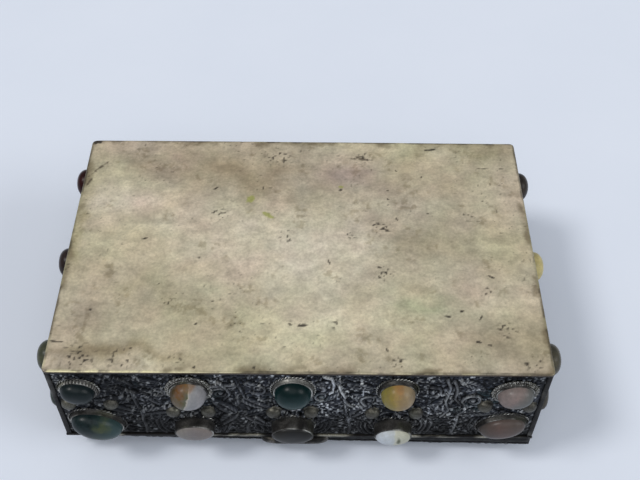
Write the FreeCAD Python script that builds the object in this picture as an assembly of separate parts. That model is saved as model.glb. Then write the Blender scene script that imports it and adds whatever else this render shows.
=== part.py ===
import FreeCAD, Part
import math
import os
from collections import namedtuple
from FreeCAD import Matrix, Vector

# A jewelled vanity trinket box: a tray of embossed metal sheets on an overhanging base plate, set all
# round with bezel-set cabochons, and a hinged lid in the same work. Millimetres, +Z up, +X along the
# length, the front with its thumb tab towards -Y. The origin is the centre of the base's underside.

# Box
LENGTH = 150.0
DEPTH = 97.0
BODY_HEIGHT = 38.2
BASE_THICKNESS = 1.0
BASE_OVERHANG = 0.8
BASE_CORNER_RADIUS = 1.6
SHEET = 1.2
GAP = 0.1

# Corner straps and the frame round the mouth
STRAP_LEG = 1.6
STRAP_SHEET = 0.4
RIM_HEIGHT = 1.2
RIM_OVERHANG = 0.5
LINING = 1.5

# Lid: hand made, so its front edge runs out of square by a couple of millimetres
LID_HEIGHT = 4.0
LID_INSET = 0.3
LID_TOP_SHEET = 0.8
LID_OUT_OF_SQUARE = 2.2
LID_LINING = 1.4

# Thumb tab on the lid's front
TAB_LENGTH = 22.0
TAB_REACH = 2.6
TAB_HEIGHT = 3.0
TAB_CENTRE_X = 1.5

# Hinge: tube knuckles soldered to the rim and to the lid, on one steel pin
PIN_RADIUS = 0.75
BORE_RADIUS = 0.80
KNUCKLE_RADIUS = 1.6
KNUCKLE_LENGTH = 18.0
KNUCKLE_COUNT = 5
KNUCKLE_GAP = 0.3
FOOT_HEIGHT = 2.2
LID_LIMIT_HEEL = Vector(0, 1.2, -1.48)

# Stone settings
SEAT_CLEARANCE = 0.04
BEZEL_WALL = 0.35
LOW_COLLAR_FOOT = 0.8
TALL_COLLAR_FOOT = 0.6
TALL_COLLAR_FROM = 3.0
WIRE_RADIUS = 0.3
LIP = 0.3
BALL_RADIUS = 2.0
BALL_SINK = 1.7

# Worked-out places
WALL_X = LENGTH / 2 - BASE_OVERHANG
WALL_Y = DEPTH / 2 - BASE_OVERHANG
WALL_TOP = BODY_HEIGHT - RIM_HEIGHT
INNER_X = WALL_X - SHEET
INNER_Y = WALL_Y - SHEET
CAVITY_X = INNER_X - GAP - LINING
CAVITY_Y = INNER_Y - GAP - LINING
LINING_TOP = WALL_TOP - GAP
RIM_X = WALL_X + RIM_OVERHANG
RIM_Y = WALL_Y + RIM_OVERHANG
LID_BOTTOM = BODY_HEIGHT + GAP
LID_TOP = LID_BOTTOM + LID_HEIGHT
LID_X = RIM_X - LID_INSET
LID_Y = RIM_Y - LID_INSET
AXIS_Y = RIM_Y + GAP + KNUCKLE_RADIUS
AXIS_Z = BODY_HEIGHT + GAP / 2
HINGE_HALF = (KNUCKLE_COUNT * (KNUCKLE_LENGTH + KNUCKLE_GAP) - KNUCKLE_GAP) / 2

# A stone's place on its wall (across, up), its half length and half width, how far its long axis is
# turned, the height of its bezel collar and the height of its dome above the collar.
Stone = namedtuple("Stone", "across up half_length half_width turn collar dome")
Ball = namedtuple("Ball", "across up")

FRONT_LOWER = [
    Stone(-64.8, 10.2, 5.4, 4.3, 12, 1.4, 4.1),
    Stone(-29.6, 9.9, 5.1, 5.1, 0, 1.6, 4.8),
    Stone(1.8, 9.7, 5.5, 5.5, 0, 1.6, 4.6),
    Stone(33.0, 10.4, 5.4, 5.4, 0, 1.6, 4.8),
    Stone(66.0, 10.2, 5.1, 4.1, -15, 1.4, 3.6),
]
FRONT_UPPER = [
    Stone(-63.6, 29.0, 7.2, 4.5, 18, 1.6, 3.3),
    Stone(-29.4, 30.8, 5.4, 4.0, 0, 4.3, 2.2),
    Stone(2.1, 30.3, 6.1, 4.2, 0, 4.6, 1.6),
    Stone(32.8, 30.3, 5.7, 3.7, 0, 3.9, 1.6),
    Stone(63.2, 29.0, 8.0, 5.4, -22, 1.6, 4.5),
]
FRONT_BALLS = [
    Ball(-70.2, 17.8),
    Ball(-56.8, 18.0),
    Ball(-36.0, 22.3),
    Ball(-22.5, 22.3),
    Ball(-3.6, 22.2),
    Ball(8.0, 22.3),
    Ball(28.0, 22.3),
    Ball(38.8, 22.3),
    Ball(57.4, 18.0),
    Ball(70.2, 18.2),
]

LONG_COLUMNS = [-64.2, -32.1, 0.0, 32.1, 64.2]
END_COLUMNS = [-36.5, 0.0, 36.5]
LOWER_ROW_UP = 10.0
UPPER_ROW_UP = 28.2
BALL_ROW_UP = 18.6
BALL_OFFSET = 6.6

LID_COLUMNS = [-62.0, -32.0, 0.0, 32.0, 62.0]
LID_ROWS = [-31.0, 0.0, 31.0]
LID_CENTRE_STONE = Stone(0, 0, 11.0, 8.0, 0, 2.0, 4.0)
LID_BALL_COLUMNS = [-47.0, -17.5, 17.5, 47.0]
LID_BALL_ROWS = [-15.5, 15.5]


def box(corner, opposite):
    """A box between any two opposite corners."""
    low = [min(pair) for pair in zip(corner, opposite)]
    high = [max(pair) for pair in zip(corner, opposite)]
    return Part.makeBox(high[0] - low[0], high[1] - low[1], high[2] - low[2], Vector(*low))


def frame_matrix(origin, across, up, outward):
    """The matrix that carries a wall's own axes (across, up, outward) to its place in the box."""
    columns = [across, up, outward, origin]
    matrix = Matrix()
    matrix.A11, matrix.A12, matrix.A13, matrix.A14 = [column.x for column in columns]
    matrix.A21, matrix.A22, matrix.A23, matrix.A24 = [column.y for column in columns]
    matrix.A31, matrix.A32, matrix.A33, matrix.A34 = [column.z for column in columns]
    return matrix


X_AXIS = Vector(1, 0, 0)
Y_AXIS = Vector(0, 1, 0)
Z_AXIS = Vector(0, 0, 1)
FRONT = frame_matrix(Vector(0, -WALL_Y, 0), X_AXIS, Z_AXIS, -Y_AXIS)
BACK = frame_matrix(Vector(0, WALL_Y, 0), -X_AXIS, Z_AXIS, Y_AXIS)
LEFT = frame_matrix(Vector(-WALL_X, 0, 0), -Y_AXIS, Z_AXIS, -X_AXIS)
RIGHT = frame_matrix(Vector(WALL_X, 0, 0), Y_AXIS, Z_AXIS, X_AXIS)
LID_FACE = frame_matrix(Vector(0, 0, LID_TOP), X_AXIS, Y_AXIS, Z_AXIS)


def turned(profile):
    """A solid of revolution about +Z from a closed profile wire in the XZ plane."""
    return Part.Face(profile).revolve(Vector(0, 0, 0), Z_AXIS, 360)


def stretched(shape, x, y, z):
    """The shape scaled by a different amount along each axis."""
    matrix = Matrix()
    matrix.scale(x, y, z)
    return shape.transformGeometry(matrix)


def seated(shape, stone, wall):
    """A setting's piece, made about +Z at the origin, carried to its stone's place on a wall."""
    placed = shape.copy()
    placed.rotate(Vector(0, 0, 0), Z_AXIS, stone.turn)
    placed.translate(Vector(stone.across, stone.up, 0))
    return placed.transformed(wall)


def cabochon(stone, wall):
    """A flat-backed stone: a straight girdle inside its bezel, and a dome above."""
    girdle = (stone.collar - LIP - SEAT_CLEARANCE) / stone.dome
    corner = Vector(1, 0, -girdle)
    shoulder = Vector(1, 0, 0)
    top = Vector(0, 0, 1)
    arc = Part.Arc(shoulder, Vector(0.5**0.5, 0, 0.5**0.5), top)
    floor = Vector(0, 0, -girdle)
    edges = [
        Part.makeLine(floor, corner),
        Part.makeLine(corner, shoulder),
        arc.toShape(),
        Part.makeLine(top, floor),
    ]
    solid = stretched(turned(Part.Wire(edges)), stone.half_length, stone.half_width, stone.dome)
    solid.translate(Vector(0, 0, stone.collar - LIP))
    return seated(solid, stone, wall)


def collar_foot(stone):
    """How far the bezel's foot spreads past the stone: tall collars stand on a wider foot."""
    return TALL_COLLAR_FOOT if stone.collar > TALL_COLLAR_FROM else LOW_COLLAR_FOOT


def bezel(stone, wall):
    """The collar that holds a stone: a wide foot on the wall, rising to a thin upright lip."""
    bore = 1 + SEAT_CLEARANCE / stone.half_width
    lip = 1 + (SEAT_CLEARANCE + BEZEL_WALL) / stone.half_width
    foot = 1 + collar_foot(stone) / stone.half_width
    points = [
        Vector(bore, 0, 0),
        Vector(foot, 0, 0),
        Vector(lip, 0, stone.collar * 0.6),
        Vector(lip, 0, stone.collar),
        Vector(bore, 0, stone.collar),
    ]
    solid = turned(Part.makePolygon(points + points[:1]))
    return seated(stretched(solid, stone.half_length, stone.half_width, 1), stone, wall)


def wire_ring(stone, wall):
    """The twisted wire soldered on the wall round a bezel's foot, as a plain ring of six-sided section."""
    middle = 1 + (collar_foot(stone) + WIRE_RADIUS + GAP) / stone.half_width
    corners = [math.radians(60 * step) for step in range(6)]
    section = [
        Vector(middle + WIRE_RADIUS * math.cos(angle) / stone.half_length, 0, WIRE_RADIUS * (1 + math.sin(angle)))
        for angle in corners
    ]
    solid = turned(Part.makePolygon(section + section[:1]))
    return seated(stretched(solid, stone.half_length, stone.half_width, 1), stone, wall)


def ball_boss(ball, wall):
    """A small smooth ball soldered to the wall, with its back filed flat."""
    solid = Part.makeSphere(BALL_RADIUS, Vector(0, 0, BALL_RADIUS - BALL_SINK))
    half = 2 * BALL_RADIUS
    solid = solid.common(box((-half, -half, 0), (half, half, 2 * half)))
    return seated(solid, Stone(ball.across, ball.up, 1, 1, 0, 1, 1), wall)


def rows(columns):
    """Two rows of like settings on a wall: round stones below, ovals above."""
    below = [Stone(at, LOWER_ROW_UP, 5.1, 5.1, 0, 2.0, 4.2) for at in columns]
    above = [Stone(at, UPPER_ROW_UP, 6.4, 4.6, 0, 2.6, 3.2) for at in columns]
    return below, above


def flanking_balls(columns):
    """A ball either side of each column, between its two stones."""
    return [Ball(at + side * BALL_OFFSET, BALL_ROW_UP) for at in columns for side in (-1, 1)]


def lid_stones():
    """Stones over the lid in a grid, round and oval in turn, leaving out the large one at the centre."""
    stones = []
    for column, x in enumerate(LID_COLUMNS):
        for row, y in enumerate(LID_ROWS):
            if x == 0 and y == 0:
                continue
            is_round = (column + row) % 2
            half_length, half_width = (5.2, 5.2) if is_round else (6.6, 4.6)
            stones.append(Stone(x, y, half_length, half_width, 0, 2.0, 3.6))
    return stones


def base_plate():
    """The flat bottom sheet, standing proud of the walls all round, with eased corners."""
    plate = box((-LENGTH / 2, -DEPTH / 2, 0), (LENGTH / 2, DEPTH / 2, BASE_THICKNESS))
    upright = [edge for edge in plate.Edges if abs(edge.tangentAt(edge.FirstParameter).z) > 0.9]
    return plate.makeFillet(BASE_CORNER_RADIUS, upright)


def long_wall(side):
    """The front (side -1) or back (side 1) sheet, full length."""
    return box((-WALL_X, side * INNER_Y, BASE_THICKNESS), (WALL_X, side * WALL_Y, WALL_TOP))


def end_wall(side):
    """The left (side -1) or right (side 1) sheet, between the long walls."""
    return box((side * INNER_X, -INNER_Y, BASE_THICKNESS), (side * WALL_X, INNER_Y, WALL_TOP))


def corner_strap(side_x, side_y):
    """An angle strip soldered over one upright corner."""
    out_x = side_x * (WALL_X + STRAP_SHEET)
    out_y = side_y * (WALL_Y + STRAP_SHEET)
    inner_end = (out_x - side_x * STRAP_LEG, out_y - side_y * STRAP_LEG, BASE_THICKNESS)
    angle = box(inner_end, (out_x, out_y, WALL_TOP))
    return angle.cut(box((0, 0, BASE_THICKNESS), (side_x * WALL_X, side_y * WALL_Y, WALL_TOP)))


def ring(outer_x, outer_y, inner_x, inner_y, low, high):
    """A rectangular frame."""
    outside = box((-outer_x, -outer_y, low), (outer_x, outer_y, high))
    return outside.cut(box((-inner_x, -inner_y, low), (inner_x, inner_y, high)))


def body_rim():
    """The flat frame on top of the walls, covering the lining's edges."""
    return ring(RIM_X, RIM_Y, CAVITY_X, CAVITY_Y, WALL_TOP, BODY_HEIGHT)


def floor_lining():
    """The padded cloth floor."""
    low = BASE_THICKNESS + GAP
    return box((GAP - CAVITY_X, GAP - CAVITY_Y, low), (CAVITY_X - GAP, CAVITY_Y - GAP, low + LINING))


def long_lining(side):
    """The padded cloth against the front or back wall."""
    across = INNER_X - GAP
    outer = side * (INNER_Y - GAP)
    return box((-across, outer, BASE_THICKNESS + GAP), (across, side * CAVITY_Y, LINING_TOP))


def end_lining(side):
    """The padded cloth against an end wall, between the long ones."""
    deep = CAVITY_Y - GAP
    outer = side * (INNER_X - GAP)
    return box((outer, -deep, BASE_THICKNESS + GAP), (side * CAVITY_X, deep, LINING_TOP))


def lid_block(inset, low, high):
    """A slab with the lid's outline, set in all round: its front edge runs back towards +X."""
    x = LID_X - inset
    back = LID_Y - inset
    left_front = inset - LID_Y
    right_front = left_front + LID_OUT_OF_SQUARE
    corners = [
        Vector(-x, left_front, low),
        Vector(x, right_front, low),
        Vector(x, back, low),
        Vector(-x, back, low),
    ]
    face = Part.Face(Part.makePolygon(corners + corners[:1]))
    return face.extrude(Vector(0, 0, high - low))


def lid_frame():
    """The lid's upright skirt."""
    outside = lid_block(0, LID_BOTTOM, LID_TOP - LID_TOP_SHEET)
    return outside.cut(lid_block(SHEET, LID_BOTTOM, LID_TOP - LID_TOP_SHEET))


def lid_panel():
    """The lid's embossed top sheet, soldered over the skirt."""
    return lid_block(0, LID_TOP - LID_TOP_SHEET, LID_TOP)


def lid_lining():
    """The padded cloth inside the lid."""
    high = LID_TOP - LID_TOP_SHEET - GAP
    return lid_block(SHEET + GAP, high - LID_LINING, high)


def lid_front_y(x):
    """Where the lid's front face is at a place along the length."""
    return -LID_Y + LID_OUT_OF_SQUARE * (x + LID_X) / (2 * LID_X)


def thumb_tab():
    """A flat tongue with rounded ends, standing out from the skirt's front."""
    root = lid_front_y(TAB_CENTRE_X + TAB_LENGTH / 2) + GAP / 2
    tip = lid_front_y(TAB_CENTRE_X) - TAB_REACH
    low = LID_BOTTOM + GAP
    left = TAB_CENTRE_X - TAB_LENGTH / 2
    right = TAB_CENTRE_X + TAB_LENGTH / 2
    tongue = box((left, tip, low), (right, root, low + TAB_HEIGHT))
    front = [edge for edge in tongue.Edges if abs(edge.tangentAt(edge.FirstParameter).z) > 0.9]
    front = [edge for edge in front if edge.CenterOfMass.y < tip + GAP]
    tongue = tongue.makeFillet(TAB_REACH * 0.9, front)
    return tongue.cut(lid_block(0, LID_BOTTOM, LID_TOP))


def knuckle(index):
    """One hinge tube, and the space it takes along the pin."""
    start = -HINGE_HALF + index * (KNUCKLE_LENGTH + KNUCKLE_GAP)
    tube = Part.makeCylinder(KNUCKLE_RADIUS, KNUCKLE_LENGTH, Vector(start, AXIS_Y, AXIS_Z), X_AXIS)
    return tube, start, start + KNUCKLE_LENGTH


def bored(shape, start):
    """The shape with the pin's bore through it."""
    return shape.cut(Part.makeCylinder(BORE_RADIUS, KNUCKLE_LENGTH, Vector(start, AXIS_Y, AXIS_Z), X_AXIS))


def body_knuckle(index):
    """A tube whose foot is soldered to the back of the rim."""
    tube, start, end = knuckle(index)
    foot = box((start, RIM_Y, WALL_TOP), (end, AXIS_Y, BODY_HEIGHT))
    return bored(tube.fuse(foot).removeSplitter(), start)


def lid_knuckle(index):
    """A tube whose foot is soldered to the lid's back, with a heel that meets the rim at full opening."""
    tube, start, end = knuckle(index)
    foot = box((start, LID_Y, LID_BOTTOM), (end, AXIS_Y, LID_BOTTOM + FOOT_HEIGHT))
    centre = Vector(start, AXIS_Y, AXIS_Z)
    outline = [
        centre,
        centre + Vector(0, KNUCKLE_RADIUS * 0.95, -KNUCKLE_RADIUS * 0.5),
        centre + LID_LIMIT_HEEL,
        centre + Vector(0, 0, -KNUCKLE_RADIUS * 0.98),
    ]
    heel = Part.Face(Part.makePolygon(outline + outline[:1])).extrude(Vector(KNUCKLE_LENGTH, 0, 0))
    return bored(tube.fuse([foot, heel]).removeSplitter(), start)


def hinge_pin():
    """The steel pin through all the tubes, with a rounded head at each end."""
    head = KNUCKLE_RADIUS * 0.8
    reach = HINGE_HALF + GAP
    pin = Part.makeCylinder(PIN_RADIUS, 2 * reach, Vector(-reach, AXIS_Y, AXIS_Z), X_AXIS)
    for side in (-1, 1):
        ball = Part.makeSphere(head, Vector(side * reach, AXIS_Y, AXIS_Z))
        half = 2 * head
        end = side * (reach + half)
        keep = box((side * reach, AXIS_Y - half, AXIS_Z - half), (end, AXIS_Y + half, AXIS_Z + half))
        pin = pin.fuse(ball.common(keep))
    return pin.removeSplitter()


def write(name, shapes):
    """One node: a single solid, or a group of separate ones."""
    solids = shapes if isinstance(shapes, list) else [shapes]
    solids = [solid for shape in solids for solid in shape.Solids]
    whole = solids[0] if len(solids) == 1 else Part.makeCompound(solids)
    whole.exportStep(os.path.join("parts", name + ".step"))


def write_settings(prefix, stones, balls, wall):
    """The collars, wire rings and ball bosses of one wall, a node each."""
    write(prefix + "_bezels", [bezel(stone, wall) for stone in stones])
    write(prefix + "_wire_rings", [wire_ring(stone, wall) for stone in stones])
    write(prefix + "_ball_bosses", [ball_boss(ball, wall) for ball in balls])


def write_stones(name, stones, wall):
    write(name, [cabochon(stone, wall) for stone in stones])


def write_body():
    """The tray, its lining and its hinge tubes."""
    write("base_plate", base_plate())
    write("front_wall", long_wall(-1))
    write("back_wall", long_wall(1))
    write("left_wall", end_wall(-1))
    write("right_wall", end_wall(1))
    write("corner_straps", [corner_strap(x, y) for x in (-1, 1) for y in (-1, 1)])
    write("body_rim", body_rim())
    write("floor_lining", floor_lining())
    write("front_lining", long_lining(-1))
    write("back_lining", long_lining(1))
    write("left_lining", end_lining(-1))
    write("right_lining", end_lining(1))
    write("hinge_body_knuckles", [body_knuckle(index) for index in range(0, KNUCKLE_COUNT, 2)])
    write("hinge_pin", hinge_pin())


def write_wall_settings():
    """Every setting on the four walls. The front's stones are all different, so each is its own node."""
    for number, stone in enumerate(FRONT_LOWER, 1):
        write_stones("front_lower_stone_%d" % number, [stone], FRONT)
    for number, stone in enumerate(FRONT_UPPER, 1):
        write_stones("front_upper_stone_%d" % number, [stone], FRONT)
    write_settings("front", FRONT_LOWER + FRONT_UPPER, FRONT_BALLS, FRONT)
    plain_walls = [("back", LONG_COLUMNS, BACK), ("left", END_COLUMNS, LEFT), ("right", END_COLUMNS, RIGHT)]
    for prefix, columns, wall in plain_walls:
        lower, upper = rows(columns)
        write_stones(prefix + "_lower_stones", lower, wall)
        write_stones(prefix + "_upper_stones", upper, wall)
        write_settings(prefix, lower + upper, flanking_balls(columns), wall)


def write_lid():
    """The lid, its settings, its lining, its tab and its hinge tubes."""
    stones = lid_stones()
    balls = [Ball(x, y) for x in LID_BALL_COLUMNS for y in LID_BALL_ROWS]
    write("lid_frame", lid_frame())
    write("lid_panel", lid_panel())
    write("lid_lining", lid_lining())
    write("thumb_tab", thumb_tab())
    write("hinge_lid_knuckles", [lid_knuckle(index) for index in range(1, KNUCKLE_COUNT, 2)])
    write_stones("lid_centre_stone", [LID_CENTRE_STONE], LID_FACE)
    write_stones("lid_stones", stones, LID_FACE)
    write_settings("lid", stones + [LID_CENTRE_STONE], balls, LID_FACE)


os.makedirs("parts", exist_ok=True)
write_body()
write_wall_settings()
write_lid()
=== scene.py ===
import itertools
import math
from collections import namedtuple

import bmesh
import bpy
import numpy as np
from mathutils import Matrix, Vector


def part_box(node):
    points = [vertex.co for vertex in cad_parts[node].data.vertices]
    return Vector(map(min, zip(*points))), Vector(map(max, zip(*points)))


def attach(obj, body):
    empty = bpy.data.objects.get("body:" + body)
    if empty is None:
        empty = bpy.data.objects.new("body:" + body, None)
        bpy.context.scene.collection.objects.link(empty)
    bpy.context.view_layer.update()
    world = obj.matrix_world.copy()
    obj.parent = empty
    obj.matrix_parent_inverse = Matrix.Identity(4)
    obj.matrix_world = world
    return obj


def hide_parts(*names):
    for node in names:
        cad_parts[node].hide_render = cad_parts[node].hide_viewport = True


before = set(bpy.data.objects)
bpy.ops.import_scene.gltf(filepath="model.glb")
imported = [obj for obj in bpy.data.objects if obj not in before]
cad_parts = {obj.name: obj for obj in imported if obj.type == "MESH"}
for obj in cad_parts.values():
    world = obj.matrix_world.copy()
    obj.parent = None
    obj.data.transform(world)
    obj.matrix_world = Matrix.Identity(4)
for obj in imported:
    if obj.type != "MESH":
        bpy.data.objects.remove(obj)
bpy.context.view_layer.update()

# A jewelled trinket box with embossed metal walls. It is seen lying on its lid: the camera is below the base
# plate and looks up at it. Shapes are worked out in millimetres and turned into metres in the mesh.
MM = 0.001
SIDE_BODY = "box_body"
LID_BODY = "lid"

# Embossed sheets
RELIEF_STEP = 0.3
LID_RELIEF_STEP = 0.4
STRAND_SHAKE = 0.7
STROKE_HEIGHT = 1.1
PANEL_STRAND = 0.48
CURLS_PER_PANEL = 14
PETALS = 11
MOAT = 0.42
GRAINS_PER_SQUARE_MM = 1.3
BRIGHT_GRAINS = 0.16
CORNER_BAND = 1.4
SHEET_EDGE = (14, 14, 15)
# A panel's leaves on either side: share up the stem, length, lean in degrees, and 1 for up or -1 for down.
SPRIG_LEAVES = ((0.12, 8.5, 62, 1), (0.32, 11.5, 48, 1), (0.58, 10, 62, 1), (0.62, 10.5, 50, -1))

# Settings
RING_SEGMENTS = 96
STONE_SEGMENTS = 64
STONE_RINGS = 18
BALL_SEGMENTS = 28
BEZEL_WALL = 0.35
BEZEL_GAP = 0.05
LIP = 0.3
TALL_COLLAR = 3
FLUTES = 34
FLUTE_DEPTH = 0.34
ROPE_GAP = 0.4
ROPE_RADIUS = 0.3
GRAIN_SHINE = 0.55
ROUND_WITHIN = 1.06
DOME_FULLNESS = 2.5
BALL_SPREAD = 1.18
# Rows of grains round a collar, as (offset, height, radius).
GRAIN_ROWS = ((0.75, 0.75, 0.26), (0.95, 0.3, 0.3), (1.5, 0.15, 0.3))

# Base plate: its grid, and the inset and drop of each line of points at its eased edge
PLATE_STEP = 0.42
PLATE_EASE_WIDTH = 0.6
PLATE_EASE_INSETS = (0.0, 0.1, 0.3)
PLATE_EASE_DROPS = (0.28, 0.1, 0.02, 0.0)
PLATE_CORNER_RADIUS = 1.5

# Frames, straps and linings
SKIRT_THICK = 1.2
STRAP_LEG = 1.6
STRAP_THICK = 0.4
PAD_STEP = 2.4
PAD_PRESSURE = 4.0
PAD_RISE = 0.5
CLOTH_STEPS = 20

# Table and room
TABLE_REACH = 8.0
ROOM_LIGHT = 0.3

CORNER_SIGNS = ((-1, -1), (1, -1), (1, 1), (-1, 1))
TINY = 1e-9

# Camera: place, axes and focal length
CAMERA_PLACE = Vector((-4.25, -197.44, -235.21)) * MM
CAMERA_RIGHT = Vector((-0.99995, 0.00269, -0.00991))
CAMERA_UP = Vector((0.00847, 0.76191, -0.64762))
CAMERA_LENS = 53.35
SENSOR_WIDTH = 36.0


# ---------------------------------------------------------------- numbers and colours
def linear(red, green, blue):
    """A display colour, 0 to 255 a channel, as linear light."""
    shares = np.array([red, green, blue]) / 255
    return np.where(shares > 0.04045, ((shares + 0.055) / 1.055) ** 2.4, shares / 12.92)


def smooth(low, high, value):
    """0 below low, 1 above high, and an even curve between."""
    share = np.clip((value - low) / (high - low), 0, 1)
    return share * share * (3 - 2 * share)


def mix(first, second, share):
    """Colours between first and second, one for each share."""
    return first + (second - first) * np.asarray(share)[..., None]


def lattice(cell, seed):
    """A repeatable number from 0 to 1 for each whole-numbered cell."""
    mixed = cell[..., 0] * 73856093 ^ cell[..., 1] * 19349663 ^ cell[..., 2] * 83492791 ^ seed * 40503
    mixed = ((mixed ^ (mixed >> 13)) & 0xFFFFFFFF) * 1274126177 & 0xFFFFFFFF
    return ((mixed ^ (mixed >> 15)) & 0xFFFF) / 65535.0


def fuzz(points, size, seed):
    """Smooth noise from 0 to 1 with features of one size."""
    scaled = np.asarray(points, float) / size
    cell = np.floor(scaled).astype(np.int64)
    part = scaled - cell
    part = part * part * (3 - 2 * part)
    total = 0
    for corner in itertools.product((0, 1), repeat=3):
        weight = np.prod(np.where(np.array(corner), part, 1 - part), axis=-1)
        total = total + weight * lattice(cell + np.array(corner), seed)
    return total


def cloud(points, size, seed, octaves=4):
    """Noise from 0 to 1 with detail at several sizes, spread to use most of that range."""
    total, whole = 0, 0
    for octave in range(octaves):
        weight = 0.5**octave
        total = total + weight * fuzz(points, size * weight, seed + 31 * octave)
        whole += weight
    return np.clip(0.5 + 1.6 * (total / whole - 0.5), 0, 1)


# ---------------------------------------------------------------- places taken from the frame
Wall = namedtuple("Wall", "name matrix low high thick")
Setting = namedtuple("Setting", "across up half_length half_width turn collar top")


def node_box(node):
    low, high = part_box(node)
    return low / MM, high / MM


def wall_frame(across, up, outward, origin):
    """The matrix from a wall's own millimetres (across, up, outward) to the row frame's."""
    matrix = Matrix.Identity(4)
    for column, axis in enumerate((across, up, outward, origin)):
        matrix.col[column][:3] = axis
    return matrix


def find_walls():
    """The five decorated faces: where each one's outside is, and how far it reaches."""
    x, y, z = Vector((1, 0, 0)), Vector((0, 1, 0)), Vector((0, 0, 1))
    facings = {
        "front": ("front_wall", x, z, -y), "back": ("back_wall", -x, z, y), "left": ("left_wall", -y, z, -x),
        "right": ("right_wall", y, z, x), "lid": ("lid_panel", x, y, z),
    }
    walls = {}
    for name, (node, *axes) in facings.items():
        corners = node_box(node)
        lows, highs = zip(*(sorted(corner.dot(axis) for corner in corners) for axis in axes))
        matrix = wall_frame(*axes, axes[2] * highs[2])
        walls[name] = Wall(name, matrix, lows[:2], highs[:2], highs[2] - lows[2])
    return walls


def solids_of(node, matrix):
    """The separate solids of a CAD node, each as points in a wall's own millimetres."""
    shape = bmesh.new()
    shape.from_mesh(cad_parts[node].data)
    bmesh.ops.remove_doubles(shape, verts=shape.verts, dist=1e-6)
    into_wall = matrix.inverted()
    seen, solids = set(), []
    shape.verts.ensure_lookup_table()
    for start in shape.verts:
        if start in seen:
            continue
        seen.add(start)
        queue, members = [start], []
        while queue:
            vertex = queue.pop()
            members.append(into_wall @ (vertex.co / MM))
            for edge in vertex.link_edges:
                other = edge.other_vert(vertex)
                if other not in seen:
                    seen.add(other)
                    queue.append(other)
        solids.append(np.array(members))
    shape.free()
    return solids


def middle_of(points):
    return (points.min(0) + points.max(0)) / 2


def main_axes(flat):
    """The long and short directions of an outline, or the wall's own where it is round."""
    reaches = np.linalg.norm(flat, axis=1)
    long_axis = flat[reaches.argmax()] / reaches.max()
    short_axis = np.array([-long_axis[1], long_axis[0]])
    if reaches.max() < ROUND_WITHIN * abs(flat @ short_axis).max():
        return np.array([1.0, 0.0]), np.array([0.0, 1.0])
    if long_axis[0] < 0:
        return -long_axis, -short_axis
    return long_axis, short_axis


def find_settings(nodes, bezels, wall):
    """Each stone of the named CAD nodes, with the height of the bezel that stands round it."""
    collars = solids_of(bezels, wall.matrix)
    settings = []
    for node in nodes:
        for points in solids_of(node, wall.matrix):
            centre = middle_of(points)
            flat = points[:, :2] - centre[:2]
            long_axis, short_axis = main_axes(flat)
            collar = min(collars, key=lambda solid: np.linalg.norm(middle_of(solid)[:2] - centre[:2]))
            settings.append(
                Setting(centre[0], centre[1], abs(flat @ long_axis).max(), abs(flat @ short_axis).max(),
                        math.atan2(long_axis[1], long_axis[0]), collar[:, 2].max(), points[:, 2].max())
            )
    return settings


# ---------------------------------------------------------------- meshes
def new_object(name, points, faces):
    """A mesh object from millimetre points in the row frame."""
    mesh = bpy.data.meshes.new(name)
    mesh.from_pydata((np.asarray(points) * MM).tolist(), [], faces)
    mesh.polygons.foreach_set("use_smooth", [True] * len(mesh.polygons))
    mesh.update()
    piece = bpy.data.objects.new(name, mesh)
    bpy.context.scene.collection.objects.link(piece)
    return piece


def paint(piece, tone, rub):
    """Keeps each point's colour, and how far it is rubbed bright, for the metal materials to read."""
    layer = piece.data.attributes.new("tone", "FLOAT_COLOR", "POINT")
    colours = np.ones((len(piece.data.vertices), 4))
    colours[:, :3] = tone
    colours[:, 3] = rub
    layer.data.foreach_set("color", colours.astype(np.float32).ravel())


def settle(piece, material, body, slot, *nodes):
    """Gives a piece its material, its body and the CAD nodes it stands for."""
    piece.data.materials.clear()
    piece.data.materials.append(material)
    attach(piece, body)
    if nodes:
        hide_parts(*nodes)
    return piece


def moved(points, matrix):
    """Points carried by a 4 x 4 matrix."""
    turn = np.array(matrix.to_3x3())
    return np.asarray(points) @ turn.T + np.array(matrix.translation)


class Batch:
    """Many small parts that end up in one mesh."""

    def __init__(self):
        self.points, self.faces, self.tones, self.rubs = [], [], [], []
        self.count = 0

    def add(self, points, faces, tone, rub):
        """Adds one part. tone is one colour or one for each point, and so is rub."""
        self.points.append(points)
        self.tones.append(np.broadcast_to(tone, (len(points), 3)))
        self.rubs.append(np.broadcast_to(rub, (len(points),)))
        self.faces.extend([[index + self.count for index in face] for face in faces])
        self.count += len(points)

    def build(self, name):
        piece = new_object(name, np.concatenate(self.points), self.faces)
        paint(piece, np.concatenate(self.tones), np.concatenate(self.rubs))
        return piece


def tube_faces(loops, size, closed):
    """Faces between one loop of points and the next. Each loop has the same number of points."""
    faces = []
    for loop in range(loops if closed else loops - 1):
        following = (loop + 1) % loops
        for index in range(size):
            beside = (index + 1) % size
            faces.append([loop * size + index, following * size + index,
                          following * size + beside, loop * size + beside])
    return faces


def grid_faces(index):
    """Four-sided faces over a grid of point numbers."""
    corners = [index[:-1, :-1], index[:-1, 1:], index[1:, 1:], index[1:, :-1]]
    return np.stack(corners, -1).reshape(-1, 4).tolist()


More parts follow.
